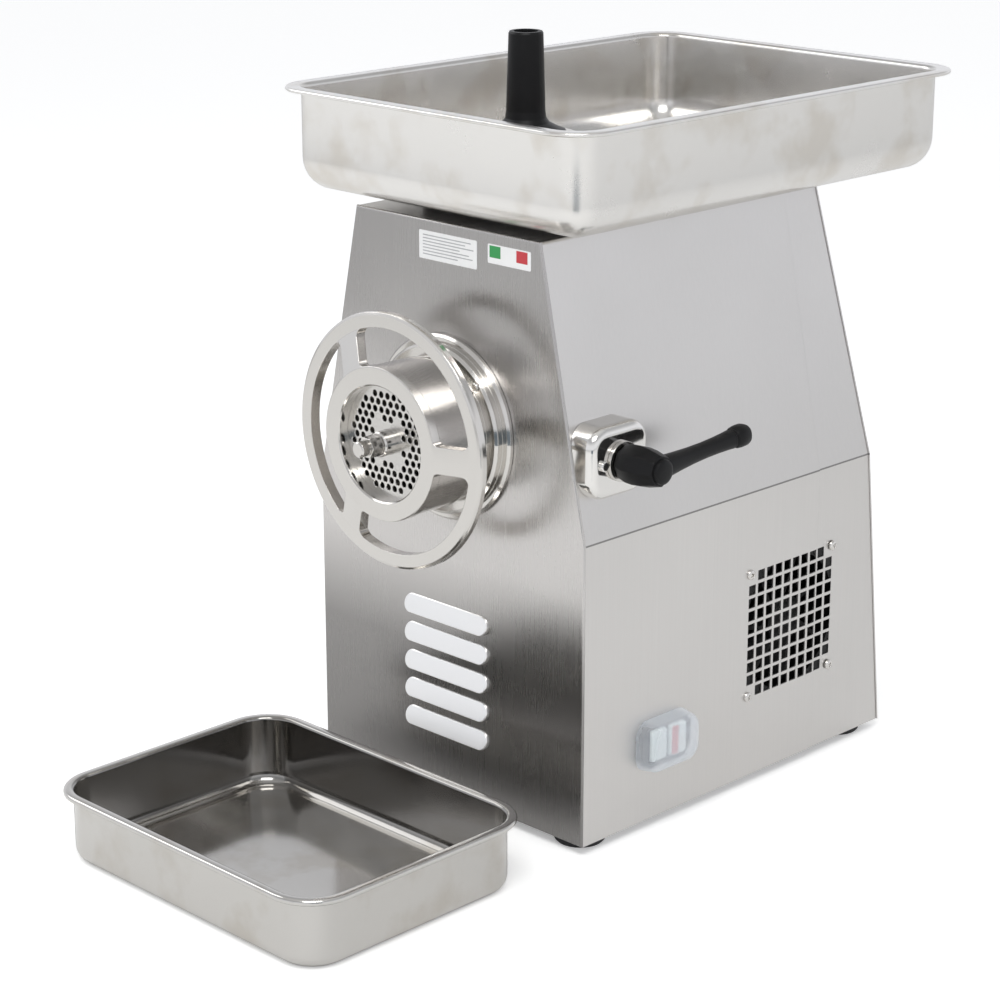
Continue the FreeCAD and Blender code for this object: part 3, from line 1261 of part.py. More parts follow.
def make_motor():
    start = COVER_BACK + d.motor_gap
    end = start + d.motor_length
    bell = 14
    shell = d.motor_radius - d.motor_wall
    at = {"aim": "back", "z": MOTOR_HEIGHT}
    housing = washer("motor_housing", shell, d.motor_radius - 3, start + bell, end - bell, **at)
    rib = sketch(housing, "XY_Plane", lift=start + bell + 4)
    draw_polygon(rib, rectangle(0, d.motor_radius - 2.5, 2.4, 5))
    polar(housing, pad(housing, rib, d.motor_length - 2 * bell - 8), 24)
    seat = MOTOR_BEARING
    shaft_gap = d.motor_shaft_radius + d.run_clearance
    turned("motor_front_bell", [
        (seat, start), (d.motor_radius, start), (d.motor_radius, start + bell), (shell, start + bell),
        (shell - 2, start + 6), (seat + 5, start + 6), (seat + 5, start + bell), (seat, start + bell)], **at)
    turned("motor_rear_bell", [
        (seat, end - bell), (seat + 5, end - bell), (seat + 5, end - 6), (shell - 2, end - 6),
        (shell, end - bell), (d.motor_radius, end - bell), (d.motor_radius, end - 4),
        (d.motor_radius - 4, end), (0, end), (0, end - 2.5), (seat, end - 2.5)], **at)
    races = []
    for station in (start + 1.5, end - bell + 0.5):
        race = washer("motor_race", shaft_gap, seat, station, station + 11, **at)
        NODES.remove(race)
        races.append(race)
    group("motor_bearings", *races)
    middle = (start + end) / 2
    low, high = middle - d.stack_length / 2, middle + d.stack_length / 2
    bore = d.rotor_radius + d.air_gap
    washer("motor_stator", bore, shell, low, high, **at)
    washer("motor_rotor", d.motor_shaft_radius, d.rotor_radius, low, high, **at)
    pinion_start = CAVITY_FRONT + 3 + d.drive_face + 6
    turned("motor_shaft", [(0, pinion_start), (d.motor_shaft_radius, pinion_start),
                           (d.motor_shaft_radius, end - 3), (0, end - 3)], **at)
    make_cradle(middle)


def make_cradle(middle):
    low = d.foot_height + d.base_sheet
    saddle = block("cradle_block", 96, 34, MOTOR_HEIGHT - low - 30, y=middle, z=low)
    drum = cylinder("cradle_drum", d.motor_radius + 0.1, 200, y=middle - 100, z=MOTOR_HEIGHT, aim="back")
    node(cut("motor_cradle", saddle, drum), "motor_cradle")


def make_fan():
    """An axial fan on the inside of the right wall, behind the square holes."""
    back_x = HALF_WIDTH - d.sheet - d.joint_gap
    front_x = back_x - d.fan_depth
    frame = body("fan_frame")
    outline = rectangle(d.fan_y, d.fan_z, d.fan_size, d.fan_size)
    pad(frame, draw_polygon(sketch(frame, "YZ_Plane", lift=front_x), outline), d.fan_depth)
    soften(frame, 6, lambda e: along(e, "x"))
    tunnel = draw_circle(sketch(frame, "YZ_Plane", lift=front_x), d.fan_y, d.fan_z, d.fan_bore)
    pocket(frame, tunnel, d.fan_depth, back=True)
    bar = sketch(frame, "YZ_Plane", lift=front_x)
    draw_polygon(bar, rectangle(d.fan_y, d.fan_z, d.fan_size - 2, 9))
    pad(frame, bar, 4)
    post = draw_circle(sketch(frame, "YZ_Plane", lift=front_x), d.fan_y, d.fan_z, 18)
    pad(frame, post, 8)
    holes = sketch(frame, "YZ_Plane", lift=front_x)
    half = d.fan_screw_pitch / 2
    places = [(d.fan_y + sy * half, d.fan_z + sz * half) for sy in (-1, 1) for sz in (-1, 1)]
    for y, z in places:
        draw_circle(holes, y, z, FAN_SCREW_RADIUS + d.joint_gap)
    pocket(frame, holes, d.fan_depth, back=True)
    make_fan_rotor(front_x)
    screw = [(0, -12), (FAN_SCREW_RADIUS, -12), (FAN_SCREW_RADIUS, 0.1), (4.2, 0.1), (4.2, 1.4),
             (2.8, 2.8), (0, 2.8)]
    revolved_group("fan_screws", screw, [(HALF_WIDTH, y, z) for y, z in places], "right")


def make_fan_rotor(front_x):
    start = front_x + 9
    rotor = turned("fan_rotor", [(0, start), (20, start), (20, start + 24), (0, start + 24)], "right",
                   y=d.fan_y, z=d.fan_z)
    blade = sketch(rotor, "YZ_Plane", lift=18)
    draw_polygon(blade, [(-10, start + 3), (-7, start + 3), (9, start + 22), (6, start + 22)])
    polar(rotor, pad(rotor, blade, d.fan_bore - 20), 7)


def make_electrics():
    """The motor's run capacitor and the box with the contactor, on the left wall."""
    wall_x = -(HALF_WIDTH - d.sheet - d.joint_gap)
    turned("run_capacitor", [(0, 0), (19, 0), (20, 1), (20, 84), (19, 85), (0, 85)], "back",
           x=wall_x + 20, y=40, z=210)
    box = block("control_box", 42, 90, 110, x=wall_x + 21, y=60, z=60)
    node(box, "control_box")


# ---------------------------------------------------------------- build, check, write


def build():
    make_casing()
    make_front_panel()
    make_rear_panel()
    make_base()
    make_rear_fittings()
    make_labels()
    make_tray_gasket()
    make_barrel()
    make_feed_screw()
    make_knife()
    make_plate()
    make_wheel()
    make_head_socket()
    make_clamp()
    make_tray()
    make_pan()
    make_switch()
    make_gears()
    make_gearbox()
    make_shafts()
    make_stand()
    make_motor()
    make_fan()
    make_electrics()
    doc.recompute()


def check():
    """Stops if any object failed, or any sub-part is empty or broken."""
    for thing in doc.Objects:
        if "Invalid" in thing.State or "Error" in thing.State:
            raise RuntimeError(f"{thing.Label} failed: {thing.State}")
    for thing in NODES:
        shape = thing.Shape
        if shape.isNull() or not shape.isValid() or not shape.Solids:
            raise RuntimeError(f"{thing.Label} has no sound shape")


def write():
    for thing in NODES:
        thing.Shape.exportStep(f"parts/{thing.Label}.step")
        print(f"{thing.Label:18} {len(thing.Shape.Solids)} solid(s) {thing.Shape.Volume:12.0f} mm3")


build()
check()
write()
print(len(NODES), "nodes")
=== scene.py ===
# %% [markdown]
# # An electric meat grinder, dressed around its CAD frame
#
# The frame holds every piece at its real size, in metres, with +Z up and the front facing -Y.
# A piece can be shown in two ways. The CAD solid can be kept and given a finish, or a finer mesh
# can stand for it. Flat sheet and hidden machinery are kept. What the eye rests on, such as the
# trays, the lever, the louvres and the perforated plate, is made again with softer edges.

# %% Load the frame
import bpy
import bmesh
import json
import math
from mathutils import Matrix, Vector


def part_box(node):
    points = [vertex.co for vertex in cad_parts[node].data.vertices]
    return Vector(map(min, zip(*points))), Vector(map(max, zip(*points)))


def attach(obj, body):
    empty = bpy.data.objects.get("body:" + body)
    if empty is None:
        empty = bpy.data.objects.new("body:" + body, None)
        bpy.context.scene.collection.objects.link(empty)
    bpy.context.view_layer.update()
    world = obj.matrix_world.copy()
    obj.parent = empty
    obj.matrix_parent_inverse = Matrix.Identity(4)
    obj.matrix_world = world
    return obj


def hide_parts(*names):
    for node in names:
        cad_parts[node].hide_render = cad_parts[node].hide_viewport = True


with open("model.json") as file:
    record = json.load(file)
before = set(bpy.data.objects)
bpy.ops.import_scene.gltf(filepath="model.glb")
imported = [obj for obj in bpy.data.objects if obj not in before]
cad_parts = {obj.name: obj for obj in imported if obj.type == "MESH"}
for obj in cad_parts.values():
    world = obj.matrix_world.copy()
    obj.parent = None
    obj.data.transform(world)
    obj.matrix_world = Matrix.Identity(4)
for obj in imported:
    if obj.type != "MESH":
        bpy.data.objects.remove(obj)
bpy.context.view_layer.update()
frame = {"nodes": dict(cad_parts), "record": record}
MM = 0.001

# %% [markdown]
# ## Camera
#
# A product shot is taken with a long lens from some way off, so that upright edges stay upright.
# The camera could be aimed at a point with a constraint. Here it gets its direction as a vector,
# which keeps the file free of anything live.

# %% Camera
camera = bpy.data.objects.new("camera", bpy.data.cameras.new("camera"))
camera.data.lens = 96.58
camera.data.sensor_width = 36
camera.location = (1.4363, -1.5705, 0.8865)
LOOK = Vector((-0.6728, 0.6757, -0.3012))
camera.rotation_mode = "QUATERNION"
camera.rotation_quaternion = LOOK.to_track_quat("-Z", "Y")
bpy.context.scene.collection.objects.link(camera)
bpy.context.scene.camera = camera
bpy.context.scene.view_settings.view_transform = "Standard"
print("camera looks along", [round(v, 3) for v in LOOK])

# %% [markdown]
# ## Stage
#
# Bare metal has hardly any colour of its own. It shows what stands around it, so the room matters
# more than the lamps do. A pale floor and a pale dome give the even grey of a light tent. The dome
# has a darker band high up, and a small dark card that only reflections can see stands in front.
# They draw the dark bands which tell the eye that this is steel. A finished room picture wrapped
# round the scene would do as well, but its bands couldn't be moved.

# %% Node helper
def node(tree, kind, inputs=None, **settings):
    """Adds a node, with its plain values, and returns it."""
    made = tree.nodes.new(kind)
    for key, value in settings.items():
        setattr(made, key, value)
    for key, value in (inputs or {}).items():
        if isinstance(value, bpy.types.NodeSocket):
            tree.links.new(value, made.inputs[key])
        else:
            made.inputs[key].default_value = value
    return made


def ramp(tree, factor, *stops):
    """A colour ramp from (position, grey or colour) stops."""
    made = node(tree, "ShaderNodeValToRGB", {"Fac": factor})
    elements = made.color_ramp.elements
    for i, (position, colour) in enumerate(stops):
        spot = elements[i] if i < 2 else elements.new(position)
        spot.position = position
        spot.color = (colour, colour, colour, 1) if isinstance(colour, float) else (*colour, 1)
    return made.outputs["Color"]


def maths(tree, operation, first, second=0.0):
    return node(tree, "ShaderNodeMath", {0: first, 1: second}, operation=operation).outputs[0]


# %% Dome
def make_world():
    """A dome that lights in soft bands, while the camera itself sees plain white."""
    world = bpy.data.worlds.new("dome")
    bpy.context.scene.world = world
    world.use_nodes = True
    tree = world.node_tree
    tree.nodes.clear()
    way = node(tree, "ShaderNodeTexCoord").outputs["Generated"]
    parts = node(tree, "ShaderNodeSeparateXYZ", {"Vector": way})
    height = ramp(tree, parts.outputs["Z"], (0.0, (0.93, 0.95, 1.0)), (0.30, (0.95, 0.96, 1.0)),
                  (0.62, (0.50, 0.51, 0.53)), (1.0, (0.80, 0.80, 0.80)))
    seen = node(tree, "ShaderNodeBackground", {"Color": (1, 1, 1, 1), "Strength": 1.0})
    felt = node(tree, "ShaderNodeBackground", {"Color": height, "Strength": 0.95})
    path = node(tree, "ShaderNodeLightPath")
    both = node(tree, "ShaderNodeMixShader", {0: path.outputs["Is Camera Ray"],
                                              1: felt.outputs[0], 2: seen.outputs[0]})
    node(tree, "ShaderNodeOutputWorld", {"Surface": both.outputs[0]})


make_world()
print("dome ready")

# %% Floor
FLOOR_HALF = 12
FLOOR_LIFT = 0.32


def make_floor():
    """White paper. A little of its white is a glow that only the camera sees."""
    mesh = bpy.data.meshes.new("floor")
    mesh.from_pydata([(a * FLOOR_HALF, b * FLOOR_HALF, 0)
                      for a, b in ((-1, -1), (1, -1), (1, 1), (-1, 1))], [], [(0, 1, 2, 3)])
    floor = bpy.data.objects.new("floor", mesh)
    bpy.context.scene.collection.objects.link(floor)
    material = bpy.data.materials.new("floor_paper")
    material.use_nodes = True
    shader = material.node_tree.nodes["Principled BSDF"]
    shader.inputs["Base Color"].default_value = (0.95, 0.95, 0.94, 1)
    shader.inputs["Roughness"].default_value = 0.9
    shader.inputs["Specular IOR Level"].default_value = 0.1
    shader.inputs["Emission Color"].default_value = (1, 1, 1, 1)
    path = node(material.node_tree, "ShaderNodeLightPath")
    lift = maths(material.node_tree, "MULTIPLY", path.outputs["Is Camera Ray"], FLOOR_LIFT)
    material.node_tree.links.new(lift, shader.inputs["Emission Strength"])
    mesh.materials.append(material)


make_floor()
print("floor is", 2 * FLOOR_HALF, "metres across")

# %% Card and lamps
def make_card(name, centre, width, height, facing, brightness, cool):
    """A board that only reflections see. Above 1, cool makes it bluish."""
    facing = Vector(facing).normalized()
    side = facing.cross(Vector((0, 0, 1))).normalized()
    up = side.cross(facing)
    middle = Vector(centre)
    corners = [middle + side * a * width / 2 + up * b * height / 2
               for a, b in ((-1, -1), (1, -1), (1, 1), (-1, 1))]
    mesh = bpy.data.meshes.new(name)
    mesh.from_pydata(corners, [], [(0, 1, 2, 3)])
    card = bpy.data.objects.new(name, mesh)
    bpy.context.scene.collection.objects.link(card)
    material = bpy.data.materials.new(name)
    material.use_nodes = True
    tree = material.node_tree
    tree.nodes.clear()
    glow = node(tree, "ShaderNodeEmission", {
        "Color": (brightness, brightness * (1 + cool) / 2, brightness * cool, 1), "Strength": 1.0})
    node(tree, "ShaderNodeOutputMaterial", {"Surface": glow.outputs[0]})
    mesh.materials.append(material)
    card.visible_camera = False
    card.visible_diffuse = False
    card.visible_shadow = False
    card.visible_transmission = False


def make_lamp(name, place, target, size, power):
    lamp = bpy.data.objects.new(name, bpy.data.lights.new(name, "AREA"))
    lamp.data.shape = "RECTANGLE"
    lamp.data.size = size[0]
    lamp.data.size_y = size[1]
    lamp.data.energy = power
    lamp.location = place
    lamp.rotation_mode = "QUATERNION"
    lamp.rotation_quaternion = (Vector(target) - Vector(place)).to_track_quat("-Z", "Y")
    bpy.context.scene.collection.objects.link(lamp)


LIT_POINT = (0, 0, 0.3)
make_card("flag_camera", (0.92, -0.98, 0.14), 0.42, 0.28, (-0.7, 0.7, 0), 0.16, cool=1.5)
make_lamp("key", (1.1, -1.3, 2.3), LIT_POINT, (1.4, 1.0), 26)
make_lamp("fill", (-1.6, -0.8, 1.6), LIT_POINT, (1.0, 1.4), 9)
print("stage ready")

# %% [markdown]
# ## Metal
#
# Steel sheet is ground on a belt, so it carries fine scratches that all run one way. Light spreads
# across the scratches and hardly along them. A painted streak would be wrong from every other side.
# Here the shader gets a direction: the scratch line crossed with the surface's own direction. The
# scratches and the cloudy wipe marks are noise in real metres.

# %% Helpers that every finish uses
def new_material(name):
    material = bpy.data.materials.new(name)
    material.use_nodes = True
    return material, material.node_tree, material.node_tree.nodes["Principled BSDF"]


def place_of(tree, scale=(1, 1, 1), move=(0, 0, 0)):
    """Where a point is on the object, in metres, stretched by a scale."""
    where = node(tree, "ShaderNodeTexCoord").outputs["Object"]
    made = node(tree, "ShaderNodeMapping", {"Vector": where, "Scale": scale, "Location": move})
    return made.outputs["Vector"]


def noise(tree, vector, scale, detail=3.0, roughness=0.5):
    made = node(tree, "ShaderNodeTexNoise", {"Vector": vector, "Scale": scale, "Detail": detail,
                                             "Roughness": roughness})
    return made.outputs["Fac"]


def blend_range(tree, factor, low, high):
    """A factor's 0 to 1 turned into another range."""
    made = node(tree, "ShaderNodeMapRange", {"Value": factor, "To Min": low, "To Max": high})
    return made.outputs["Result"]


def mix_colour(tree, factor, first, second):
    made = node(tree, "ShaderNodeMix", {"Factor": factor}, data_type="RGBA")
    for socket, colour in (("A", first), ("B", second)):
        target = next(s for s in made.inputs if s.name == socket and s.type == "RGBA")
        if isinstance(colour, bpy.types.NodeSocket):
            tree.links.new(colour, target)
        else:
            target.default_value = (*colour, 1)
    return next(s for s in made.outputs if s.type == "RGBA")


def vector_maths(tree, operation, first, second=(0, 0, 0), result="Vector"):
    made = node(tree, "ShaderNodeVectorMath", {0: first, 1: second}, operation=operation)
    return made.outputs[result]


# %% Which way the grain runs
AXIS_HEIGHT = (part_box("ring_wheel")[0].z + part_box("ring_wheel")[1].z) / 2
SHEET_LINE, SHEET_STRETCH = (0.03, 0.02, 1), (1, 1, 0.012)
LATHE_CENTRE, LATHE_LINE = (0, 0, AXIS_HEIGHT), (0, 1, 0)


def grain_of(tree, where, grain):
    """A place for noise, drawn out along the scratches, and the way that the scratches run."""
    if grain == "sheet":
        return place_of(tree, scale=SHEET_STRETCH), SHEET_LINE
    if grain == "lathe":
        arm = vector_maths(tree, "SUBTRACT", where, LATHE_CENTRE)
        groove = vector_maths(tree, "CROSS_PRODUCT", arm, LATHE_LINE)
        along = vector_maths(tree, "DOT_PRODUCT", arm, LATHE_LINE, "Value")
        reach = vector_maths(tree, "LENGTH", groove, result="Value")
        return node(tree, "ShaderNodeCombineXYZ", {"X": reach, "Y": along}).outputs[0], groove
    return where, None


print("turned pieces spin about a line", round(AXIS_HEIGHT, 4), "metres up")

# %% Stains, and painted shade along the side folds and on the trays' inner walls
CREASE_HEIGHT = 252 * MM
# Painted shade along the side sheets' fold: where it starts, how wide and how dark.
CREASE_FROM, CREASE_HALF, CREASE_SHADE_DEPTH = 145 * MM, 0.7 * MM, 0.6
STAIN_TONE = (0.80, 0.76, 0.70)


def stained(tree, tint, colour, amount):
    """Soft brownish islands, as dried water leaves."""
    spread = ramp(tree, noise(tree, place_of(tree, move=(7.3, 2.9, 5.5)), 19.0, 4.0, 0.55),
                  (0.50, 0.0), (0.66, amount))
    return mix_colour(tree, spread, tint, tuple(part * k for part, k in zip(colour, STAIN_TONE)))


def painted_crease_shade(tree, tint, parts):
    """Painted shade: a dark line where a side sheet is folded. The front and the back are left out."""
    near = maths(tree, "ABSOLUTE", maths(tree, "SUBTRACT", parts.outputs["Z"], CREASE_HEIGHT))
    on_line = maths(tree, "LESS_THAN", near, CREASE_HALF)
    on_side = maths(tree, "GREATER_THAN", maths(tree, "ABSOLUTE", parts.outputs["X"]), CREASE_FROM)
    dark = maths(tree, "MULTIPLY", maths(tree, "MULTIPLY", on_line, on_side), CREASE_SHADE_DEPTH)
    keep = maths(tree, "SUBTRACT", 1.0, dark)
    return vector_maths(tree, "MULTIPLY", tint, node(tree, "ShaderNodeCombineXYZ", {
        "X": keep, "Y": keep, "Z": keep}).outputs[0])


def painted_inner_shade(tree, tint, where, middle, amount):
    """Painted shade: darker on the walls that look towards a tray's middle."""
    level = vector_maths(tree, "MULTIPLY", vector_maths(tree, "SUBTRACT", middle, where), (1, 1, 0))
    facing = node(tree, "ShaderNodeNewGeometry").outputs["Normal"]
    inward = vector_maths(tree, "NORMALIZE", level)
    agree = vector_maths(tree, "DOT_PRODUCT", inward, facing, "Value")
    keep = ramp(tree, agree, (0.12, 1.0), (0.40, 1.0 - amount))
    return vector_maths(tree, "MULTIPLY", tint, keep)


# %% The metal finish
def metal(name, colour, rough, grain=None, stretch=0.0, cloud=0.05, tone=0.06, scratch=0.1,
          cloud_scale=13.0, edge=0.5 * MM, lumps=0.0, painted_shade_by_height=(), fold_shade=False, stain=0.0,
          wall_shade=None):
    """Steel or alloy: cloudy roughness, scratches along a line or round an axis, soft edges."""
    material, tree, shader = new_material(name)
    where = place_of(tree)
    clouds = noise(tree, where, cloud_scale, 5.0, 0.62)
    patches = noise(tree, place_of(tree, move=(3.1, 1.7, 0.4)), cloud_scale * 0.35, 2.0)
    lines, groove = grain_of(tree, where, grain)
    fine = noise(tree, lines, 900.0, 2.0, 0.6)
    coarse = noise(tree, lines, 420.0, 3.0, 0.6)
    both = maths(tree, "ADD", maths(tree, "MULTIPLY", fine, 0.6),
                 maths(tree, "MULTIPLY", coarse, 0.4))
    worn = maths(tree, "ADD", blend_range(tree, clouds, rough - cloud, rough + cloud),
                 blend_range(tree, both, -scratch * 0.5, scratch * 0.5))
    shader.inputs["Metallic"].default_value = 1.0
    tree.links.new(worn, shader.inputs["Roughness"])

    dark = tuple(part * (1 - tone) for part in colour)
    light = tuple(min(1.0, part * (1 + tone)) for part in colour)
    shade = maths(tree, "ADD", maths(tree, "MULTIPLY", patches, 0.55),
                  maths(tree, "MULTIPLY", both, 0.45))
    tint = mix_colour(tree, shade, dark, light)
    parts = node(tree, "ShaderNodeSeparateXYZ", {"Vector": where})
    if stain:
        tint = stained(tree, tint, colour, stain)
    # Painted shade: the colour is darkened by a ramp over height.
    if painted_shade_by_height:
        painted_height_shade = ramp(tree, maths(tree, "MULTIPLY", parts.outputs["Z"], 2.0), *painted_shade_by_height)
        tint = vector_maths(tree, "MULTIPLY", tint, painted_height_shade)
    # Painted shade along the fold of the side sheets.
    if fold_shade:
        tint = painted_crease_shade(tree, tint, parts)
    # Painted shade on a tray's inner walls.
    if wall_shade:
        tint = painted_inner_shade(tree, tint, where, *wall_shade)
    tree.links.new(tint, shader.inputs["Base Color"])

    soft = node(tree, "ShaderNodeBevel", {"Radius": edge}, samples=4).outputs["Normal"]
    height = maths(tree, "ADD", maths(tree, "MULTIPLY", both, scratch),
                   maths(tree, "MULTIPLY", clouds, lumps))
    bump = node(tree, "ShaderNodeBump", {"Height": height, "Normal": soft, "Strength": 0.35,
                                         "Distance": 0.05 * MM})
    tree.links.new(bump.outputs["Normal"], shader.inputs["Normal"])
    if stretch:
        shader.inputs["Anisotropic"].default_value = stretch
        facing = node(tree, "ShaderNodeNewGeometry").outputs["Normal"]
        tangent = vector_maths(tree, "CROSS_PRODUCT", facing, groove)
        tree.links.new(tangent, shader.inputs["Tangent"])
    return material


# %% The metals
# The height ramp gives painted shade by height, from the foot at 0 to 1 at half a metre.
# The inner wall entry gives a tray's middle and how much painted shade darkens its inner walls.
METALS = {
    # The body steel gets painted shade along the fold of its side sheets.
    "steel_body": dict(colour=(0.68, 0.663, 0.645), rough=0.33, grain="sheet", stretch=0.55,
                       cloud=0.08, tone=0.10, scratch=0.13, fold_shade=True),
    # The tray steel gets painted shade on its inner walls.
    "steel_tray": dict(colour=(0.79, 0.775, 0.75), rough=0.24, cloud=0.10, scratch=0.04, stain=0.6,
                       wall_shade=((0, 0.0124, 0), 0.14)),
    "steel_bright": dict(colour=(0.66, 0.64, 0.61), rough=0.13, grain="lathe", stretch=0.45,
                         tone=0.04, scratch=0.06, cloud_scale=40.0, edge=0.9 * MM),
    "steel_mild": dict(colour=(0.36, 0.36, 0.37), rough=0.36, grain="lathe", stretch=0.3,
                       cloud=0.06, tone=0.10),
    "cast_alloy": dict(colour=(0.50, 0.51, 0.52), rough=0.5, cloud=0.08, tone=0.08, lumps=1.5,
                       cloud_scale=120.0),
    "cast_grey": dict(colour=(0.30, 0.30, 0.31), rough=0.5, cloud=0.08, tone=0.10, lumps=2.0,
                      cloud_scale=150.0),
    "lamination": dict(colour=(0.25, 0.25, 0.27), rough=0.45, grain="lathe", stretch=0.2,
                       tone=0.15, scratch=0.2),
    "bronze": dict(colour=(0.60, 0.42, 0.20), rough=0.3, cloud=0.06, tone=0.08, scratch=0.08),
    # The front sheet's steel is a darker copy of the body's sheet steel, with painted shade by height:
    # darker at the foot and towards the top under the tray.
    "steel_front": dict(colour=(0.62, 0.60, 0.585), rough=0.27, grain="sheet", stretch=0.6,
                        cloud=0.07, tone=0.10, scratch=0.13,
                        painted_shade_by_height=((0.0, 0.40), (0.26, 0.48), (0.42, 1.0), (0.56, 1.0),
                                         (0.80, 0.74), (1.0, 0.80))),
    # The louvre steel is a much lighter copy of the front sheet's steel: a painted highlight.
    "steel_louvre": dict(colour=(0.93, 0.925, 0.91), rough=0.30, cloud=0.04, tone=0.02,
                         scratch=0.05),
    "steel_polished": dict(colour=(0.80, 0.785, 0.76), rough=0.09, cloud=0.03, tone=0.03,
                           scratch=0.03, cloud_scale=30.0, edge=1.0 * MM),
    "steel_screw": dict(colour=(0.72, 0.70, 0.67), rough=0.2, tone=0.05, scratch=0.06,
                        cloud_scale=200.0, edge=0.2 * MM),
    "steel_plate": dict(colour=(0.62, 0.605, 0.58), rough=0.2, cloud=0.06, tone=0.07,
                        cloud_scale=70.0, edge=0.2 * MM),
    # The pan steel gets painted shade on its inner walls.
    "steel_pan": dict(colour=(0.61, 0.595, 0.57), rough=0.12, cloud=0.07, tone=0.07, scratch=0.05,
                      cloud_scale=16.0, stain=0.5, wall_shade=((0.004, -0.360, 0), 0.48)),
}
MATERIALS = {name: metal(name, **how) for name, how in METALS.items()}
print(len(MATERIALS), "metals")

# %% [markdown]
# ## Plastic and rubber
#
# Moulded plastic takes its skin from a spark-eroded mould, so it has a pebbled grain a fraction of
# a millimetre across. A single flat black would show no shape at all. A fine pebble and a slight
# greying where hands rub it keep it solid. The clear boot and the print come from the same kit.

# %% Moulded plastic and the clear cover
def plastic(name, colour, rough, grain_scale=1400.0, grain=0.5, tone=0.25, wear=0.06, shine=0.5):
    material, tree, shader = new_material(name)
    shader.inputs["Specular IOR Level"].default_value = shine
    where = place_of(tree)
    grit = noise(tree, where, grain_scale, 2.0)
    rub = noise(tree, where, 55.0, 3.0, 0.6)
    dark = tuple(part * (1 - tone) for part in colour)
    light = tuple(min(1.0, part * (1 + tone) + 0.002) for part in colour)
    tree.links.new(mix_colour(tree, rub, dark, light), shader.inputs["Base Color"])
    tree.links.new(blend_range(tree, rub, rough - wear, rough + wear), shader.inputs["Roughness"])
    soft = node(tree, "ShaderNodeBevel", {"Radius": 0.5 * MM}, samples=4).outputs["Normal"]
    bump = node(tree, "ShaderNodeBump", {"Height": grit, "Normal": soft, "Strength": grain,
                                         "Distance": 0.08 * MM})
    tree.links.new(bump.outputs["Normal"], shader.inputs["Normal"])
    return material


def clear_cover(name):
    """Soft silicone: mostly clear, a little milky, more so where it is seen edge on."""
    material, tree, shader = new_material(name)
    where = place_of(tree)
    haze = noise(tree, where, 90.0, 3.0)
    tree.links.new(mix_colour(tree, haze, (0.82, 0.88, 0.95), (0.95, 0.97, 0.99)),
                   shader.inputs["Base Color"])
    tree.links.new(blend_range(tree, haze, 0.10, 0.24), shader.inputs["Roughness"])
    shader.inputs["IOR"].default_value = 1.41
    edge_on = node(tree, "ShaderNodeLayerWeight", {"Blend": 0.35}).outputs["Facing"]
    tree.links.new(blend_range(tree, edge_on, 0.18, 0.75), shader.inputs["Alpha"])
    return material


# %% The plastics, and what each finish counts as
PRINT_SKIN = dict(grain_scale=3000.0, grain=0.05)
CAP_SKIN = dict(grain_scale=2500.0, grain=0.05)
PLASTICS = {
    "black_plastic": dict(colour=(0.004, 0.004, 0.0045), rough=0.40, shine=0.22),
    "rubber": dict(colour=(0.018, 0.018, 0.018), rough=0.62, grain_scale=900.0, grain=0.6),
    "start_cap": dict(colour=(0.74, 0.82, 0.80), rough=0.25, tone=0.05, **CAP_SKIN),
    "stop_cap": dict(colour=(0.55, 0.015, 0.03), rough=0.25, tone=0.10, **CAP_SKIN),
    "label_face": dict(colour=(0.86, 0.86, 0.85), rough=0.35, tone=0.03, **PRINT_SKIN),
    "print_grey": dict(colour=(0.42, 0.42, 0.43), rough=0.5, tone=0.2, **PRINT_SKIN),
    "print_green": dict(colour=(0.03, 0.30, 0.08), rough=0.45, tone=0.1, **PRINT_SKIN),
    "print_red": dict(colour=(0.55, 0.04, 0.05), rough=0.45, tone=0.1, **PRINT_SKIN),
}
MATERIALS.update({name: plastic(name, **how) for name, how in PLASTICS.items()})
MATERIALS["clear_cover"] = clear_cover("clear_cover")
SLOT_OF = {row["node"]: row["material_slot"] for row in frame["record"]["subparts"]}
print(len(MATERIALS), "finishes for", len(SLOT_OF), "nodes")

# %% [markdown]
# ## Every CAD node gets its finish
#
# This comes first, so that nothing is ever left bare. A piece that is made again later replaces its
# CAD node, which is then hidden. The boss at the side and its screw are polished by hand, so they
# get a brighter finish than the sheet round them.

# %% Finish the CAD nodes
HAND_POLISHED = {"clamp_boss": "steel_polished", "boss_screw": "steel_polished"}
for name, shape in frame["nodes"].items():
    shape.data.materials.clear()
    shape.data.materials.append(MATERIALS[HAND_POLISHED.get(name, SLOT_OF[name])])
print("finished", len(frame["nodes"]), "nodes")

# %% [markdown]
# ## Shared shapes
#
# Two kinds of surface cover most of this machine. A pressing, such as a tray, is one section swept
# round a rounded rectangle. A turned piece is one section spun about a line, as Blender's own Screw
# modifier can do. Here both are built ring by ring, with the same number of points in every ring, so
# the faces between them stay square and every size can be read in the section.

# %% Naming a piece
def body_named(part):
    """The CAD body that a node belongs to."""
    return next(b for b, ns in frame["record"]["behaviour"]["bodies"].items() if part in ns)


def object_from(name, mesh, finish, body, *stands_for):
    """Names the piece, gives it its finish, and lets it ride on its CAD body."""
    made = bpy.data.objects.new(name, mesh)
    bpy.context.scene.collection.objects.link(made)
    mesh.materials.clear()
    mesh.materials.append(MATERIALS[finish])
    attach(made, body)
    if stands_for:
        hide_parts(*stands_for)
    return made


print("the plate rides on", body_named("plate"))

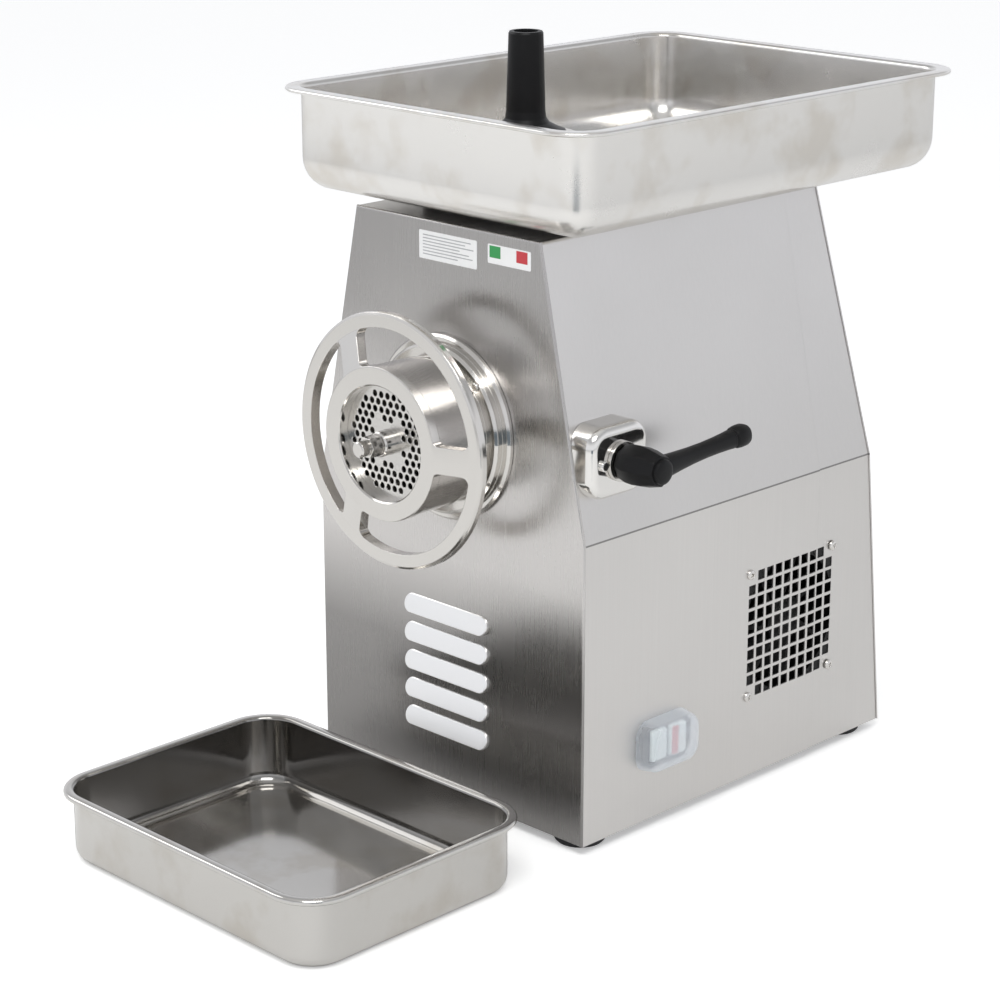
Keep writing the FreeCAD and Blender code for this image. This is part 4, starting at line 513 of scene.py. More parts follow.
# %% Lofts through rings
def tidy(mesh, sharp=35):
    """Merges doubles, turns every face outwards, and smooths all but the sharp edges."""
    work = bmesh.new()
    work.from_mesh(mesh)
    bmesh.ops.remove_doubles(work, verts=work.verts, dist=0.01 * MM)
    bmesh.ops.recalc_face_normals(work, faces=work.faces)
    work.to_mesh(mesh)
    work.free()
    for face in mesh.polygons:
        face.use_smooth = True
    mesh.set_sharp_from_angle(angle=math.radians(sharp))
    mesh.update()
    return mesh


def joined(*meshes):
    """Several closed meshes as one, each still closed by itself."""
    work = bmesh.new()
    for mesh in meshes:
        work.from_mesh(mesh)
    whole = bpy.data.meshes.new("joined")
    work.to_mesh(whole)
    work.free()
    return tidy(whole)


def loft(rings, closed=False):
    """A mesh through rings of equal count. Open ends are capped unless it closes on itself."""
    mesh = bpy.data.meshes.new("loft")
    count = len(rings[0])
    points = [point for ring in rings for point in ring]
    faces = []
    spans = len(rings) if closed else len(rings) - 1
    for i in range(spans):
        first, after = i * count, ((i + 1) % len(rings)) * count
        for k in range(count):
            following = (k + 1) % count
            faces.append((first + k, first + following, after + following, after + k))
    if not closed:
        faces.append(tuple(reversed(range(count))))
        faces.append(tuple((len(rings) - 1) * count + k for k in range(count)))
    mesh.from_pydata(points, [], faces)
    return tidy(mesh)


# %% Outlines, turned pieces and arcs
def rounded_rectangle(half_x, half_y, radius, per_corner=10):
    """Points round a rounded rectangle about the middle, starting at the right-hand corner."""
    points = []
    for quarter, (sx, sy) in enumerate(((1, 1), (-1, 1), (-1, -1), (1, -1))):
        for step in range(per_corner + 1):
            angle = math.pi / 2 * (quarter + step / per_corner)
            points.append((sx * (half_x - radius) + radius * math.cos(angle),
                           sy * (half_y - radius) + radius * math.sin(angle)))
    return points


def turn_ring(radius, station, centre, axis, steps):
    """A circle of points about a line through a centre."""
    ring = []
    for k in range(steps):
        angle = 2 * math.pi * k / steps
        a, b = radius * math.cos(angle), radius * math.sin(angle)
        offset = {"x": (station, a, b), "y": (b, station, a), "z": (a, b, station)}[axis]
        ring.append(tuple(c + o for c, o in zip(centre, offset)))
    return ring


def lathe(profile, steps, axis="z", closed=False):
    """Spins (radius, station) points about a line through the origin."""
    return loft([turn_ring(max(radius, 0.01 * MM), station, (0, 0, 0), axis, steps)
                 for radius, station in profile], closed)


def arc(centre_a, centre_b, radius, start, end, steps=6):
    """Points of an arc in a section, by degrees."""
    return [(centre_a + radius * math.cos(math.radians(start + (end - start) * i / steps)),
             centre_b + radius * math.sin(math.radians(start + (end - start) * i / steps)))
            for i in range(steps + 1)]


# %% [markdown]
# ## Feed tray and collecting pan
#
# Both are deep drawn from one sheet: a flat floor, a large round where the floor turns up, and a rim
# rolled outwards so that no raw edge is left. The section is drawn once from the floor out to the rim
# and back underneath, and swept round the tray. A thickened single sheet would be quicker, but its
# rolled rim would come out sharp. The same function makes both.

# %% Pressed trays
def tray_section(floor, top, sheet, base_round, flange, lip, roll):
    """(outward offset from the wall's outside, height) points, inside floor to outside floor."""
    points = arc(-base_round, floor + base_round, base_round - sheet, -90, 0, 8)
    points += arc(roll - sheet, top - roll, roll, 180, 90, 5)
    points += arc(flange - lip / 2, top - lip / 2, lip / 2, 90, -90, 6)
    points += [(flange - lip / 2 - 0.6 * MM, top - lip + sheet * 0.8)]
    points += [(sheet + roll, top - sheet), (roll * 0.35, top - sheet - roll * 0.35)]
    points += [(0, top - sheet - roll)]
    points += arc(-base_round, floor + base_round, base_round, 0, -90, 8)
    return points


HOLE_STEPS = 64
LEAST_CORNER = 2 * MM


def pressed_tray(half_x, half_y, x, y, corner, section, holes=()):
    """The section swept round a tray, with round (radius, x, y) holes through its floor."""
    rings = []
    for offset, height in section:
        radius = max(corner + offset, LEAST_CORNER)
        ring = rounded_rectangle(half_x + offset, half_y + offset, radius)
        rings.append([(x + a, y + b, height) for a, b in ring])
    if not holes:
        return loft(rings)
    mesh = bpy.data.meshes.new("tray")
    work = bmesh.new()
    loops = [[work.verts.new(p) for p in ring] for ring in rings]
    for low, high in zip(loops, loops[1:]):
        for k in range(len(low)):
            after = (k + 1) % len(low)
            work.faces.new((low[k], low[after], high[after], high[k]))
    rims = []
    for loop, height in ((loops[0], section[0][1]), (loops[-1], section[-1][1])):
        edges = [work.edges.get((loop[k], loop[(k + 1) % len(loop)])) for k in range(len(loop))]
        for radius, hx, hy in holes:
            circle = turn_ring(radius, height, (hx, hy, 0), "z", HOLE_STEPS)
            ring = [work.verts.new(p) for p in circle]
            edges += [work.edges.new((ring[k], ring[(k + 1) % HOLE_STEPS]))
                      for k in range(HOLE_STEPS)]
            rims.append(ring)
        bmesh.ops.triangle_fill(work, use_beauty=True, edges=edges)
    for k in range(HOLE_STEPS):
        after = (k + 1) % HOLE_STEPS
        work.faces.new((rims[0][k], rims[0][after], rims[1][after], rims[1][k]))
    work.to_mesh(mesh)
    work.free()
    return tidy(mesh)


# %% Feed tray
tray_low, tray_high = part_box("tray")
TRAY_FLANGE = 12.5 * MM
TRAY_HALF = ((tray_high - tray_low) / 2).xy - Vector((TRAY_FLANGE, TRAY_FLANGE))
FEED_Y = -100 * MM
NECK_RADIUS = 26.7 * MM
section = tray_section(tray_low.z, tray_high.z, sheet=1.5 * MM, base_round=26 * MM,
                       flange=TRAY_FLANGE, lip=3.4 * MM, roll=3.5 * MM)
mesh = pressed_tray(TRAY_HALF.x, TRAY_HALF.y, 0, (tray_low.y + tray_high.y) / 2,
                    corner=24 * MM, section=section, holes=((NECK_RADIUS, 0, FEED_Y),))
tray = object_from("feed_tray", mesh, "steel_tray", "tray", "tray")
print("tray faces", len(tray.data.polygons))

# %% Collecting pan
pan_low, pan_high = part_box("pan")
PAN_FLANGE = 7.5 * MM
PAN_HALF = ((pan_high - pan_low) / 2).xy - Vector((PAN_FLANGE, PAN_FLANGE))
section = tray_section(pan_low.z, pan_high.z, sheet=1.2 * MM, base_round=11 * MM,
                       flange=PAN_FLANGE, lip=5 * MM, roll=3 * MM)
mesh = pressed_tray(PAN_HALF.x, PAN_HALF.y, (pan_low.x + pan_high.x) / 2,
                    (pan_low.y + pan_high.y) / 2, corner=31 * MM, section=section)
pan = object_from("collecting_pan", mesh, "steel_pan", "pan", "pan")
print("pan faces", len(pan.data.polygons))

# %% [markdown]
# ## Trees that repeat and perforate
#
# A row of louvres, a set of screws and a field of holes each follow a rule, so Geometry Nodes make
# them. One piece is modelled, and the tree copies it. The rule could be a Python loop instead, but a
# tree can be opened and its numbers turned by hand. The result is made a plain mesh at once, so
# nothing live is left on the piece.

# %% Building and running a tree
SOCKET_FOR = {int: "NodeSocketInt", float: "NodeSocketFloat", tuple: "NodeSocketVector"}


def new_tree(name, **sizes):
    """A tree with named inputs; a size's kind follows from its value."""
    tree = bpy.data.node_groups.new(name, "GeometryNodeTree")
    tree.interface.new_socket("Geometry", in_out="INPUT", socket_type="NodeSocketGeometry")
    for label, value in sizes.items():
        kind = SOCKET_FOR.get(type(value))
        socket = tree.interface.new_socket(label.replace("_", " "), in_out="INPUT",
                                           socket_type=kind or value)
        if kind:
            socket.default_value = value
    tree.interface.new_socket("Geometry", in_out="OUTPUT", socket_type="NodeSocketGeometry")
    return tree, tree.nodes.new("NodeGroupInput").outputs


def end_tree(tree, geometry, finish):
    """Realises the copies, sets the finish and closes the tree."""
    whole = node(tree, "GeometryNodeRealizeInstances", {"Geometry": geometry})
    painted = node(tree, "GeometryNodeSetMaterial", {"Geometry": whole.outputs[0],
                                                     "Material": finish})
    node(tree, "NodeGroupOutput", {"Geometry": painted.outputs[0]})


def helper(mesh):
    """A passing object for a tree or a cut to read."""
    made = bpy.data.objects.new("helper", mesh)
    bpy.context.scene.collection.objects.link(made)
    return made


def plain_mesh(host, change):
    """What a passing object looks like with its modifier, as a mesh with nothing live on it."""
    ready = host.evaluated_get(bpy.context.evaluated_depsgraph_get())
    made = bpy.data.meshes.new_from_object(ready)
    host.modifiers.remove(change)
    bpy.data.objects.remove(host)
    return made


def run_tree(tree, mesh, **values):
    """Runs a tree on a mesh and hands back the plain mesh that it makes."""
    host = helper(mesh)
    change = host.modifiers.new("tree", "NODES")
    change.node_group = tree
    for item in tree.interface.items_tree:
        label = item.name.replace(" ", "_")
        if item.in_out == "INPUT" and label in values:
            change[item.identifier] = values[label]
    return plain_mesh(host, change)


# %% Cutting, joining and softening
def combine(mesh, other, operation="DIFFERENCE"):
    """One closed mesh cut by another, or joined to it."""
    base, tool = helper(mesh), helper(other)
    change = base.modifiers.new("combine", "BOOLEAN")
    change.object, change.operation, change.solver = tool, operation, "EXACT"
    made = plain_mesh(base, change)
    bpy.data.objects.remove(tool)
    return tidy(made)


def soften_edges(mesh, width, segments, angle):
    """Rounds every edge that is sharper than an angle."""
    base = helper(mesh)
    change = base.modifiers.new("soften", "BEVEL")
    change.width, change.segments, change.angle_limit = width, segments, math.radians(angle)
    change.limit_method = "ANGLE"
    return tidy(plain_mesh(base, change))


def block(low, high):
    """A plain box between two corners, for cutting with."""
    (left, near, foot), (right, far, top) = low, high
    return loft([[(left, near, z), (right, near, z), (right, far, z), (left, far, z)]
                 for z in (foot, top)])


# %% [markdown]
# ## Front sheet
#
# The front is one flat sheet with its edge rolled over and turned in. It has a round mouth for the
# head and a slot behind each louvre. It could be cut out of a block with booleans. A fill between
# loops is cleaner: the outline and the openings are drawn, and the flat is filled between them.

# %% Outline and openings
panel_low, panel_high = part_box("front_panel")
SHEET_FACE, SHEET_BACK = -187 * MM, -185 * MM
TOP_HALF = 100 * MM
MOUTH_RADIUS = 57.3 * MM
LOUVRE_FIRST, LOUVRE_PITCH, LOUVRE_COUNT = 66.6 * MM, 24 * MM, 5
SLOT_HALF_X, SLOT_HALF_Z, SLOT_DROP = 39 * MM, 3.5 * MM, 2 * MM


def cabinet_ring(inset, y, lift=0.0):
    """The cabinet's six-sided outline, moved inwards all round."""
    base, top, side = panel_low.z + inset + lift, panel_high.z - inset, panel_high.x
    lean = math.atan2(side - TOP_HALF, panel_high.z - CREASE_HEIGHT)
    step = inset * math.tan(lean / 2)
    slope = inset / math.cos(lean) - inset * math.tan(lean)
    right = [(side - inset, base), (side - inset, CREASE_HEIGHT - step), (TOP_HALF - slope, top)]
    return [(x, y, z) for x, z in right] + [(-x, y, z) for x, z in reversed(right)]


def slot_ring(half_x, half_z, middle, y, per_corner=8):
    """A capsule-shaped loop, flat at y."""
    almost_round = half_z * 0.999
    return [(x, y, middle + z)
            for x, z in rounded_rectangle(half_x, half_z, almost_round, per_corner)]


print("the front is", round(panel_high.z - panel_low.z, 4), "metres high")

# %% Front sheet
def pierced_sheet(outer, holes_front, holes_back):
    """A sheet from outline rings, front to back, with matching loops of openings."""
    work = bmesh.new()
    rings = [[work.verts.new(p) for p in ring] for ring in outer]
    pairs = [([work.verts.new(p) for p in a], [work.verts.new(p) for p in b])
             for a, b in zip(holes_front, holes_back)]
    for first, second in list(zip(rings, rings[1:])) + pairs:
        for k in range(len(first)):
            after = (k + 1) % len(first)
            work.faces.new((first[k], first[after], second[after], second[k]))
    for edge_ring, side in ((rings[0], 0), (rings[-1], 1)):
        loops = [edge_ring] + [pair[side] for pair in pairs]
        edges = [work.edges.get((loop[k], loop[(k + 1) % len(loop)])) for loop in loops
                 for k in range(len(loop))]
        bmesh.ops.triangle_fill(work, use_beauty=True, edges=edges)
    mesh = bpy.data.meshes.new("sheet")
    work.to_mesh(mesh)
    work.free()
    return tidy(mesh)


EDGE_ROUND, EDGE_STEPS = 1.8 * MM, 5
TURNED_IN = ((1.7, -185), (1.7, -173), (3.2, -173), (3.2, -185))
TURNED_LIFT = 3.2
rim = [cabinet_ring(EDGE_ROUND * (1 - math.sin(a)), SHEET_FACE + EDGE_ROUND * (1 - math.cos(a)))
       for a in (math.pi / 2 * i / EDGE_STEPS for i in range(EDGE_STEPS + 1))]
rim.append(cabinet_ring(0, SHEET_BACK))
louvre_heights = [LOUVRE_FIRST + LOUVRE_PITCH * i for i in range(LOUVRE_COUNT)]
holes = [[turn_ring(MOUTH_RADIUS, y, (0, 0, AXIS_HEIGHT), "y", 96)]
         + [slot_ring(SLOT_HALF_X, SLOT_HALF_Z, z - SLOT_DROP, y) for z in louvre_heights]
         for y in (SHEET_FACE, SHEET_BACK)]
turned_in = [cabinet_ring(i * MM, y * MM, TURNED_LIFT * MM - i * MM) for i, y in TURNED_IN]
mesh = joined(pierced_sheet(rim, *holes), loft(turned_in, closed=True))
front = object_from("front_sheet", mesh, "steel_front", "cabinet", "front_panel")
print("front sheet faces", len(front.data.polygons))

# %% [markdown]
# ## Louvres
#
# A louvre is lanced and pressed out of the sheet in one stroke: a capsule-shaped hood that leans, with
# its mouth at the lower edge so that water runs off it. It looks bright partly because the leaning
# face looks up at the room, while the sheet around it stands upright, and partly by a painted
# highlight: its steel is given a much lighter colour than the sheet. A hood could be pushed out of the
# sheet's own mesh, but its lip would then have no thickness. One hood is made as a hollow shell, and a
# tree sets it out in a row.

# %% One hood
HOOD_HALF = Vector((46.6, 7.9)) * MM
HOOD_LOW, HOOD_HIGH, HOOD_SKIN = 5.3 * MM, 1.0 * MM, 1.0 * MM
HOOD_STEPS = ((0.0, 0.0), (0.1, 0.55), (0.3, 0.82), (0.6, 0.96), (0.95, 1.0))


def hood_shell(shrink, shallower, back):
    """Capsule rings from the sheet out to the leaning face, by (inset in mm, share of depth)."""
    rings = []
    for inset, share in HOOD_STEPS:
        reach_x = HOOD_HALF.x - inset * MM - shrink
        reach_z = HOOD_HALF.y - inset * MM - shrink
        ring = []
        for x, _, z in slot_ring(reach_x, reach_z, 0, 0):
            up = (z + HOOD_HALF.y) / (2 * HOOD_HALF.y)
            proud = (HOOD_LOW + (HOOD_HIGH - HOOD_LOW) * up - shallower) * share
            ring.append((x, -proud if share else back, z))
        rings.append(ring)
    return loft(rings)


MOUTH_LOW = (-38 * MM, -3.9 * MM, -10 * MM)
MOUTH_HIGH = (38 * MM, 1 * MM, -5 * MM)
hood = combine(hood_shell(0, 0, 0), hood_shell(HOOD_SKIN, HOOD_SKIN * 0.9, 0.3 * MM))
hood = combine(hood, block(MOUTH_LOW, MOUTH_HIGH))
print("one hood has", len(hood.polygons), "faces")

# %% The row of hoods
row, given = new_tree("row_of_pieces", Piece="NodeSocketObject", Count=5, Step=(0.0, 0.0, 0.024),
                      Finish="NodeSocketMaterial")
line = node(row, "GeometryNodeMeshLine", {"Count": given["Count"], "Offset": given["Step"]},
            mode="OFFSET")
piece = node(row, "GeometryNodeObjectInfo", {"Object": given["Piece"]})
copies = node(row, "GeometryNodeInstanceOnPoints", {"Points": line.outputs[0],
                                                    "Instance": piece.outputs["Geometry"]})
end_tree(row, copies.outputs[0], given["Finish"])

hood_piece = helper(hood)
mesh = run_tree(row, bpy.data.meshes.new("empty"), Piece=hood_piece, Count=LOUVRE_COUNT,
                Step=(0.0, 0.0, LOUVRE_PITCH), Finish=MATERIALS["steel_louvre"])
bpy.data.objects.remove(hood_piece)
mesh.transform(Matrix.Translation((0, SHEET_FACE, LOUVRE_FIRST)))
louvres = object_from("louvres", tidy(mesh, sharp=22), "steel_louvre", "cabinet")
print("louvre faces", len(louvres.data.polygons))

# %% [markdown]
# ## Screws
#
# Pan heads with a cross recess hold the fan to the side sheet, and the sheet at the back. Each could
# be modelled where it sits. Instead the recess is cut once, in one screw. A tree then copies it to
# every place, stands it along the way it was driven, and turns each by a random angle from a fixed
# seed, because no fitter lines up the slots.

# %% One screw
def pan_head(radius, height, shank, length):
    """A low domed head on a plain shank, with a tapering cross cut into it."""
    dome = [(radius * math.cos(a), height * (0.35 + 0.65 * math.sin(a)))
            for a in (math.pi / 2 * i / 7 for i in range(8))]
    profile = [(0, -length), (shank, -length), (shank, 0), (radius, 0), *dome]
    head = lathe(profile, steps=24)
    arm, width = radius * 0.55, radius * 0.13
    for a, b in ((arm, width), (width, arm)):
        top, foot = height * 1.2, height * 0.35
        cross = loft([[(x * a * s, y * b * s, z) for x, y in ((-1, -1), (1, -1), (1, 1), (-1, 1))]
                      for s, z in ((0.6, foot), (1.15, top))])
        head = combine(head, cross)
    return head


HEAD_RISE = 2.7 * MM
screw_piece = helper(pan_head(4.2 * MM, HEAD_RISE, shank=1.9 * MM, length=9 * MM))
print("one screw has", len(screw_piece.data.polygons), "faces")

# %% Where the screws go
def screw_places(part, aim, height):
    """A point where each screw's head sits, with its direction as an attribute."""
    shape = frame["nodes"][part].data
    work = bmesh.new()
    work.from_mesh(shape)
    bmesh.ops.remove_doubles(work, verts=work.verts, dist=0.01 * MM)
    aim, seen, seats = Vector(aim).normalized(), set(), []
    for start in work.verts:
        if start in seen:
            continue
        island, waiting = [], [start]
        seen.add(start)
        while waiting:
            vertex = waiting.pop()
            island.append(vertex.co)
            for edge in vertex.link_edges:
                other = edge.other_vert(vertex)
                if other not in seen:
                    seen.add(other)
                    waiting.append(other)
        low = Vector(min(p[i] for p in island) for i in range(3))
        high = Vector(max(p[i] for p in island) for i in range(3))
        middle, tip = (low + high) / 2, max(p.dot(aim) for p in island)
        seats.append(middle + aim * (tip - height - middle.dot(aim)))
    work.free()
    mesh = bpy.data.meshes.new("places")
    mesh.from_pydata(seats, [], [])
    way = mesh.attributes.new("aim", "FLOAT_VECTOR", "POINT")
    for value in way.data:
        value.vector = aim
    return mesh


print("fan screws at", len(screw_places("fan_screws", (1, 0, 0), HEAD_RISE).vertices), "places")

# %% The screws on their places
scatter, given = new_tree("pieces_on_places", Piece="NodeSocketObject", Seed=7,
                          Finish="NodeSocketMaterial")
piece = node(scatter, "GeometryNodeObjectInfo", {"Object": given["Piece"]})
aim = node(scatter, "GeometryNodeInputNamedAttribute", {"Name": "aim"}, data_type="FLOAT_VECTOR")
stand = node(scatter, "FunctionNodeAlignRotationToVector", {"Vector": aim.outputs["Attribute"]},
             axis="Z")
spin = node(scatter, "FunctionNodeRandomValue", {"Seed": given["Seed"]}, data_type="FLOAT")
spin.inputs[3].default_value = math.pi
turn = node(scatter, "FunctionNodeAxisAngleToRotation", {"Axis": (0, 0, 1),
                                                         "Angle": spin.outputs[1]})
both = node(scatter, "FunctionNodeRotateRotation", {
    "Rotation": stand.outputs[0], "Rotate By": turn.outputs[0]}, rotation_space="LOCAL")
copies = node(scatter, "GeometryNodeInstanceOnPoints", {
    "Points": given["Geometry"], "Instance": piece.outputs["Geometry"],
    "Rotation": both.outputs[0]})
end_tree(scatter, copies.outputs[0], given["Finish"])

REAR_AIM = (0, 1, 0.111)
for part, aim, seed in (("fan_screws", (1, 0, 0), 3), ("panel_screws", REAR_AIM, 11)):
    mesh = run_tree(scatter, screw_places(part, aim, HEAD_RISE), Piece=screw_piece, Seed=seed,
                    Finish=MATERIALS["steel_screw"])
    screws = object_from(part + "_driven", tidy(mesh), "steel_screw", "cabinet", part)
    print(part, "faces", len(screws.data.polygons))
bpy.data.objects.remove(screw_piece)

# %% [markdown]
# ## Perforated plate
#
# The mincing plate is a hard steel disc drilled in staggered rows, ground flat and lightly
# countersunk. Dark dots in a material would do from afar, but the holes go right through. The tree
# lays out the rows, throws away the places that fall on the plain centre or the rim, puts a drill at
# each place left and takes them all out of the disc in one cut.

# %% The drilled field
plate_low, plate_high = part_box("plate")
PLATE_RADIUS = (plate_high.x - plate_low.x) / 2
PLATE_THICK = plate_high.y - plate_low.y
drilled, given = new_tree("drilled_field", Drill="NodeSocketObject", Pitch=0.0069, Rows=15,
                          Field=0.040, Plain_centre=0.0135, Finish="NodeSocketMaterial")
row_gap = maths(drilled, "MULTIPLY", given["Pitch"], math.sqrt(3) / 2)
gaps = maths(drilled, "SUBTRACT", given["Rows"], 1.0)
grid = node(drilled, "GeometryNodeMeshGrid", {
    "Size X": maths(drilled, "MULTIPLY", given["Pitch"], gaps),
    "Size Y": maths(drilled, "MULTIPLY", row_gap, gaps),
    "Vertices X": given["Rows"], "Vertices Y": given["Rows"]})
spot = node(drilled, "GeometryNodeInputPosition")
parts = node(drilled, "ShaderNodeSeparateXYZ", {0: spot.outputs[0]})
row_number = maths(drilled, "ROUND", maths(drilled, "DIVIDE", parts.outputs["Y"], row_gap))
odd = maths(drilled, "PINGPONG", row_number, 1.0)
shift = node(drilled, "ShaderNodeCombineXYZ", {
    "X": maths(drilled, "MULTIPLY", odd, maths(drilled, "MULTIPLY", given["Pitch"], 0.5))})
laid = node(drilled, "GeometryNodeSetPosition", {"Geometry": grid.outputs[0],
                                                 "Offset": shift.outputs[0]})
laid_spot = node(drilled, "GeometryNodeInputPosition")
far = vector_maths(drilled, "LENGTH", laid_spot.outputs[0], result="Value")
outside = node(drilled, "FunctionNodeCompare", {"A": far, "B": given["Field"]},
               operation="GREATER_THAN")
inside = node(drilled, "FunctionNodeCompare", {"A": far, "B": given["Plain centre"]},
              operation="LESS_THAN")
unwanted = node(drilled, "FunctionNodeBooleanMath", {0: outside.outputs[0], 1: inside.outputs[0]},
                operation="OR")
kept = node(drilled, "GeometryNodeDeleteGeometry", {"Geometry": laid.outputs[0],
                                                    "Selection": unwanted.outputs[0]})
drill = node(drilled, "GeometryNodeObjectInfo", {"Object": given["Drill"]})
drills = node(drilled, "GeometryNodeInstanceOnPoints", {"Points": kept.outputs[0],
                                                        "Instance": drill.outputs["Geometry"]})
drills = node(drilled, "GeometryNodeRealizeInstances", {"Geometry": drills.outputs[0]})
cut_disc = node(drilled, "GeometryNodeMeshBoolean", {"Mesh 1": given["Geometry"]},
                operation="DIFFERENCE")
drilled.links.new(drills.outputs[0], cut_disc.inputs["Mesh 2"])
end_tree(drilled, cut_disc.outputs["Mesh"], given["Finish"])
print("the drilling tree has", len(drilled.nodes), "nodes")

# %% Mincing plate
STUD_BORE = 9.95 * MM
HOLE, SINK, PAST = 2.4 * MM, 0.35 * MM, 1 * MM
half = PLATE_THICK / 2
edge = 0.6 * MM
disc = lathe([(STUD_BORE, -half), (PLATE_RADIUS - edge, -half), (PLATE_RADIUS, -half + edge),
              (PLATE_RADIUS, half - edge), (PLATE_RADIUS - edge, half), (STUD_BORE, half)],
             steps=128, closed=True)
drill_piece = helper(lathe([(0, -half - PAST), (HOLE + SINK + PAST, -half - PAST),
                            (HOLE, -half + SINK), (HOLE, half - SINK),
                            (HOLE + SINK + PAST, half + PAST), (0, half + PAST)], steps=20))
mesh = run_tree(drilled, disc, Drill=drill_piece, Pitch=6.9 * MM, Rows=15, Field=40 * MM,
                Plain_centre=13.5 * MM, Finish=MATERIALS["steel_plate"])
bpy.data.objects.remove(drill_piece)
place = Matrix.Translation((0, (plate_low.y + plate_high.y) / 2, AXIS_HEIGHT))
mesh.transform(place @ Matrix.Rotation(math.pi / 2, 4, "X"))
plate = object_from("mincing_plate", tidy(mesh), "steel_plate", body_named("plate"), "plate")
print("plate faces", len(plate.data.polygons))

# %% [markdown]
# ## Clamping lever
#
# A clamping lever is moulded in black glass-filled plastic over a steel insert. Its hub has flats for
# the fingers and narrows towards a round end cap. The arm is slimmest in the middle and swells to a
# knob past a ring groove. It could be sculpted from one subdivided cage, but the flats would melt
# away. The hub is an eight-sided loft and the arm an oval one, and the pieces are joined.

# %% Clamping lever
lever_low, lever_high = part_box("clamp_lever")
LEVER_Y, LEVER_Z = -154 * MM, 314 * MM
HUB_SIDES = 8
LEVER_RISE = math.radians(4)
# Each table is in millimetres. The first two give (radius, station along the hub). The last gives
# (station along the arm, half width, half height).
HUB_PROFILE = ((12.6, 0), (13.8, 2), (15.7, 9), (16.1, 16), (15.2, 24), (13.2, 32), (12.0, 36.5))
CAP_PROFILE = ((0, 30), (9.6, 30), (9.6, 38.4), (9.3, 39.4), (8.4, 40.2), (6.5, 40.7), (3.4, 41),
               (0, 41))
ARM_PROFILE = ((2, 8.6, 8.6), (12, 8.4, 8.2), (24, 7.4, 7.3), (38, 6.6, 6.5), (54, 6.2, 6.1),
               (68, 6.3, 6.3), (80, 6.8, 6.8), (85.5, 7.2, 7.2), (86.3, 6.5, 6.5), (87.6, 6.5, 6.5),
               (88.2, 7.4, 7.4), (89.6, 8.1, 8.1), (94, 8.6, 8.6), (99, 8.5, 8.5),
               (101.8, 7.6, 7.6), (103.3, 5.6, 5.6), (104, 2.2, 2.2))


def oval(half_a, half_b, fullness=2.4, count=28):
    """A closed curve between an ellipse and a rounded box."""
    power = 2 / fullness
    points = []
    for k in range(count):
        c, s = math.cos(2 * math.pi * k / count), math.sin(2 * math.pi * k / count)
        points.append((math.copysign(abs(c) ** power, c) * half_a,
                       math.copysign(abs(s) ** power, s) * half_b))
    return points


start = lever_low.x
hub = loft([turn_ring(r * MM, start + s * MM, (0, 0, 0), "x", HUB_SIDES) for r, s in HUB_PROFILE])
hub = soften_edges(hub, 0.5 * MM, segments=2, angle=14)
cap = lathe([(r * MM, start + s * MM) for r, s in CAP_PROFILE], axis="x", steps=48)
ARM_X = start + 30 * MM
arm = loft([[(ARM_X + a, y * MM, b) for a, b in oval(hx * MM, hz * MM)]
            for y, hx, hz in ARM_PROFILE])
mesh = combine(combine(hub, cap, "UNION"), arm, "UNION")
mesh.transform(Matrix.Translation((0, LEVER_Y, LEVER_Z)) @ Matrix.Rotation(LEVER_RISE, 4, "X"))
lever = object_from("clamping_lever", tidy(mesh, sharp=28), "black_plastic", "lever", "clamp_lever")
print("lever faces", len(lever.data.polygons))

# %% [markdown]
# ## Switch
#
# Two push keys sit under a soft clear boot that keeps water and grease out. Both keys are pale, and
# the stop key has a red bar. The boot is a real shell, thin enough to see the keys through. A solid
# block of clear stuff would be less work, but it would bend the view of the keys and hide them.

# %% Switch boot
boot_low, boot_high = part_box("switch_cover")
BOOT_Y, BOOT_Z = (boot_low.y + boot_high.y) / 2, (boot_low.z + boot_high.z) / 2
BOOT_HALF_Y, BOOT_HALF_Z = (boot_high.y - boot_low.y) / 2, (boot_high.z - boot_low.z) / 2


def boot_ring(x, inset, corner):
    ring = rounded_rectangle(BOOT_HALF_Y - inset, BOOT_HALF_Z - inset, corner)
    return [(x, BOOT_Y + a, BOOT_Z + b) for a, b in ring]


def boot_rings(skin, base):
    """Rings out to the top, by (station, inset and corner radius in mm)."""
    top = boot_high.x - skin
    outline = ((base, 0.0, 13), (base + 2 * MM, 0.2, 13), (top - 5 * MM, 1.4, 12.5),
               (top - 3 * MM, 2.3, 12), (top - 1.5 * MM, 3.9, 11), (top - 0.5 * MM, 6.2, 9),
               (top, 9.5, 6))
    return [boot_ring(x, inset * MM + skin, corner * MM - skin) for x, inset, corner in outline]


BOOT_SKIN = 1.1 * MM
mesh = combine(loft(boot_rings(0, boot_low.x)), loft(boot_rings(BOOT_SKIN, boot_low.x - 0.5 * MM)))
boot = object_from("switch_boot", mesh, "clear_cover", "cabinet", "switch_cover")
print("boot faces", len(boot.data.polygons))

# %% Keys
KEY_CORNER, KEY_HOLLOW = 3 * MM, 0.5 * MM


def key_cap(low, high):
    """A key with soft corners and a slightly hollow face."""
    y, z = (low.y + high.y) / 2, (low.z + high.z) / 2
    half_y, half_z = (high.y - low.y) / 2, (high.z - low.z) / 2
    rings = []
    for x, inset in ((low.x, 0.3), (high.x - 2.5 * MM, 0.3), (high.x - 1 * MM, 0.7),
                     (high.x - 0.25 * MM, 1.6), (high.x, 2.8), (high.x - KEY_HOLLOW, 5.5)):
        ring = rounded_rectangle(half_y - inset * MM, half_z - inset * MM, KEY_CORNER, 6)
        rings.append([(x, y + a, z + b) for a, b in ring])
    return loft(rings)


for part, name in (("start_button", "start_key"), ("stop_button", "stop_key")):
    low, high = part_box(part)
    key = object_from(name, key_cap(low, high), "start_cap", body_named(part), part)
    print(name, "faces", len(key.data.polygons))

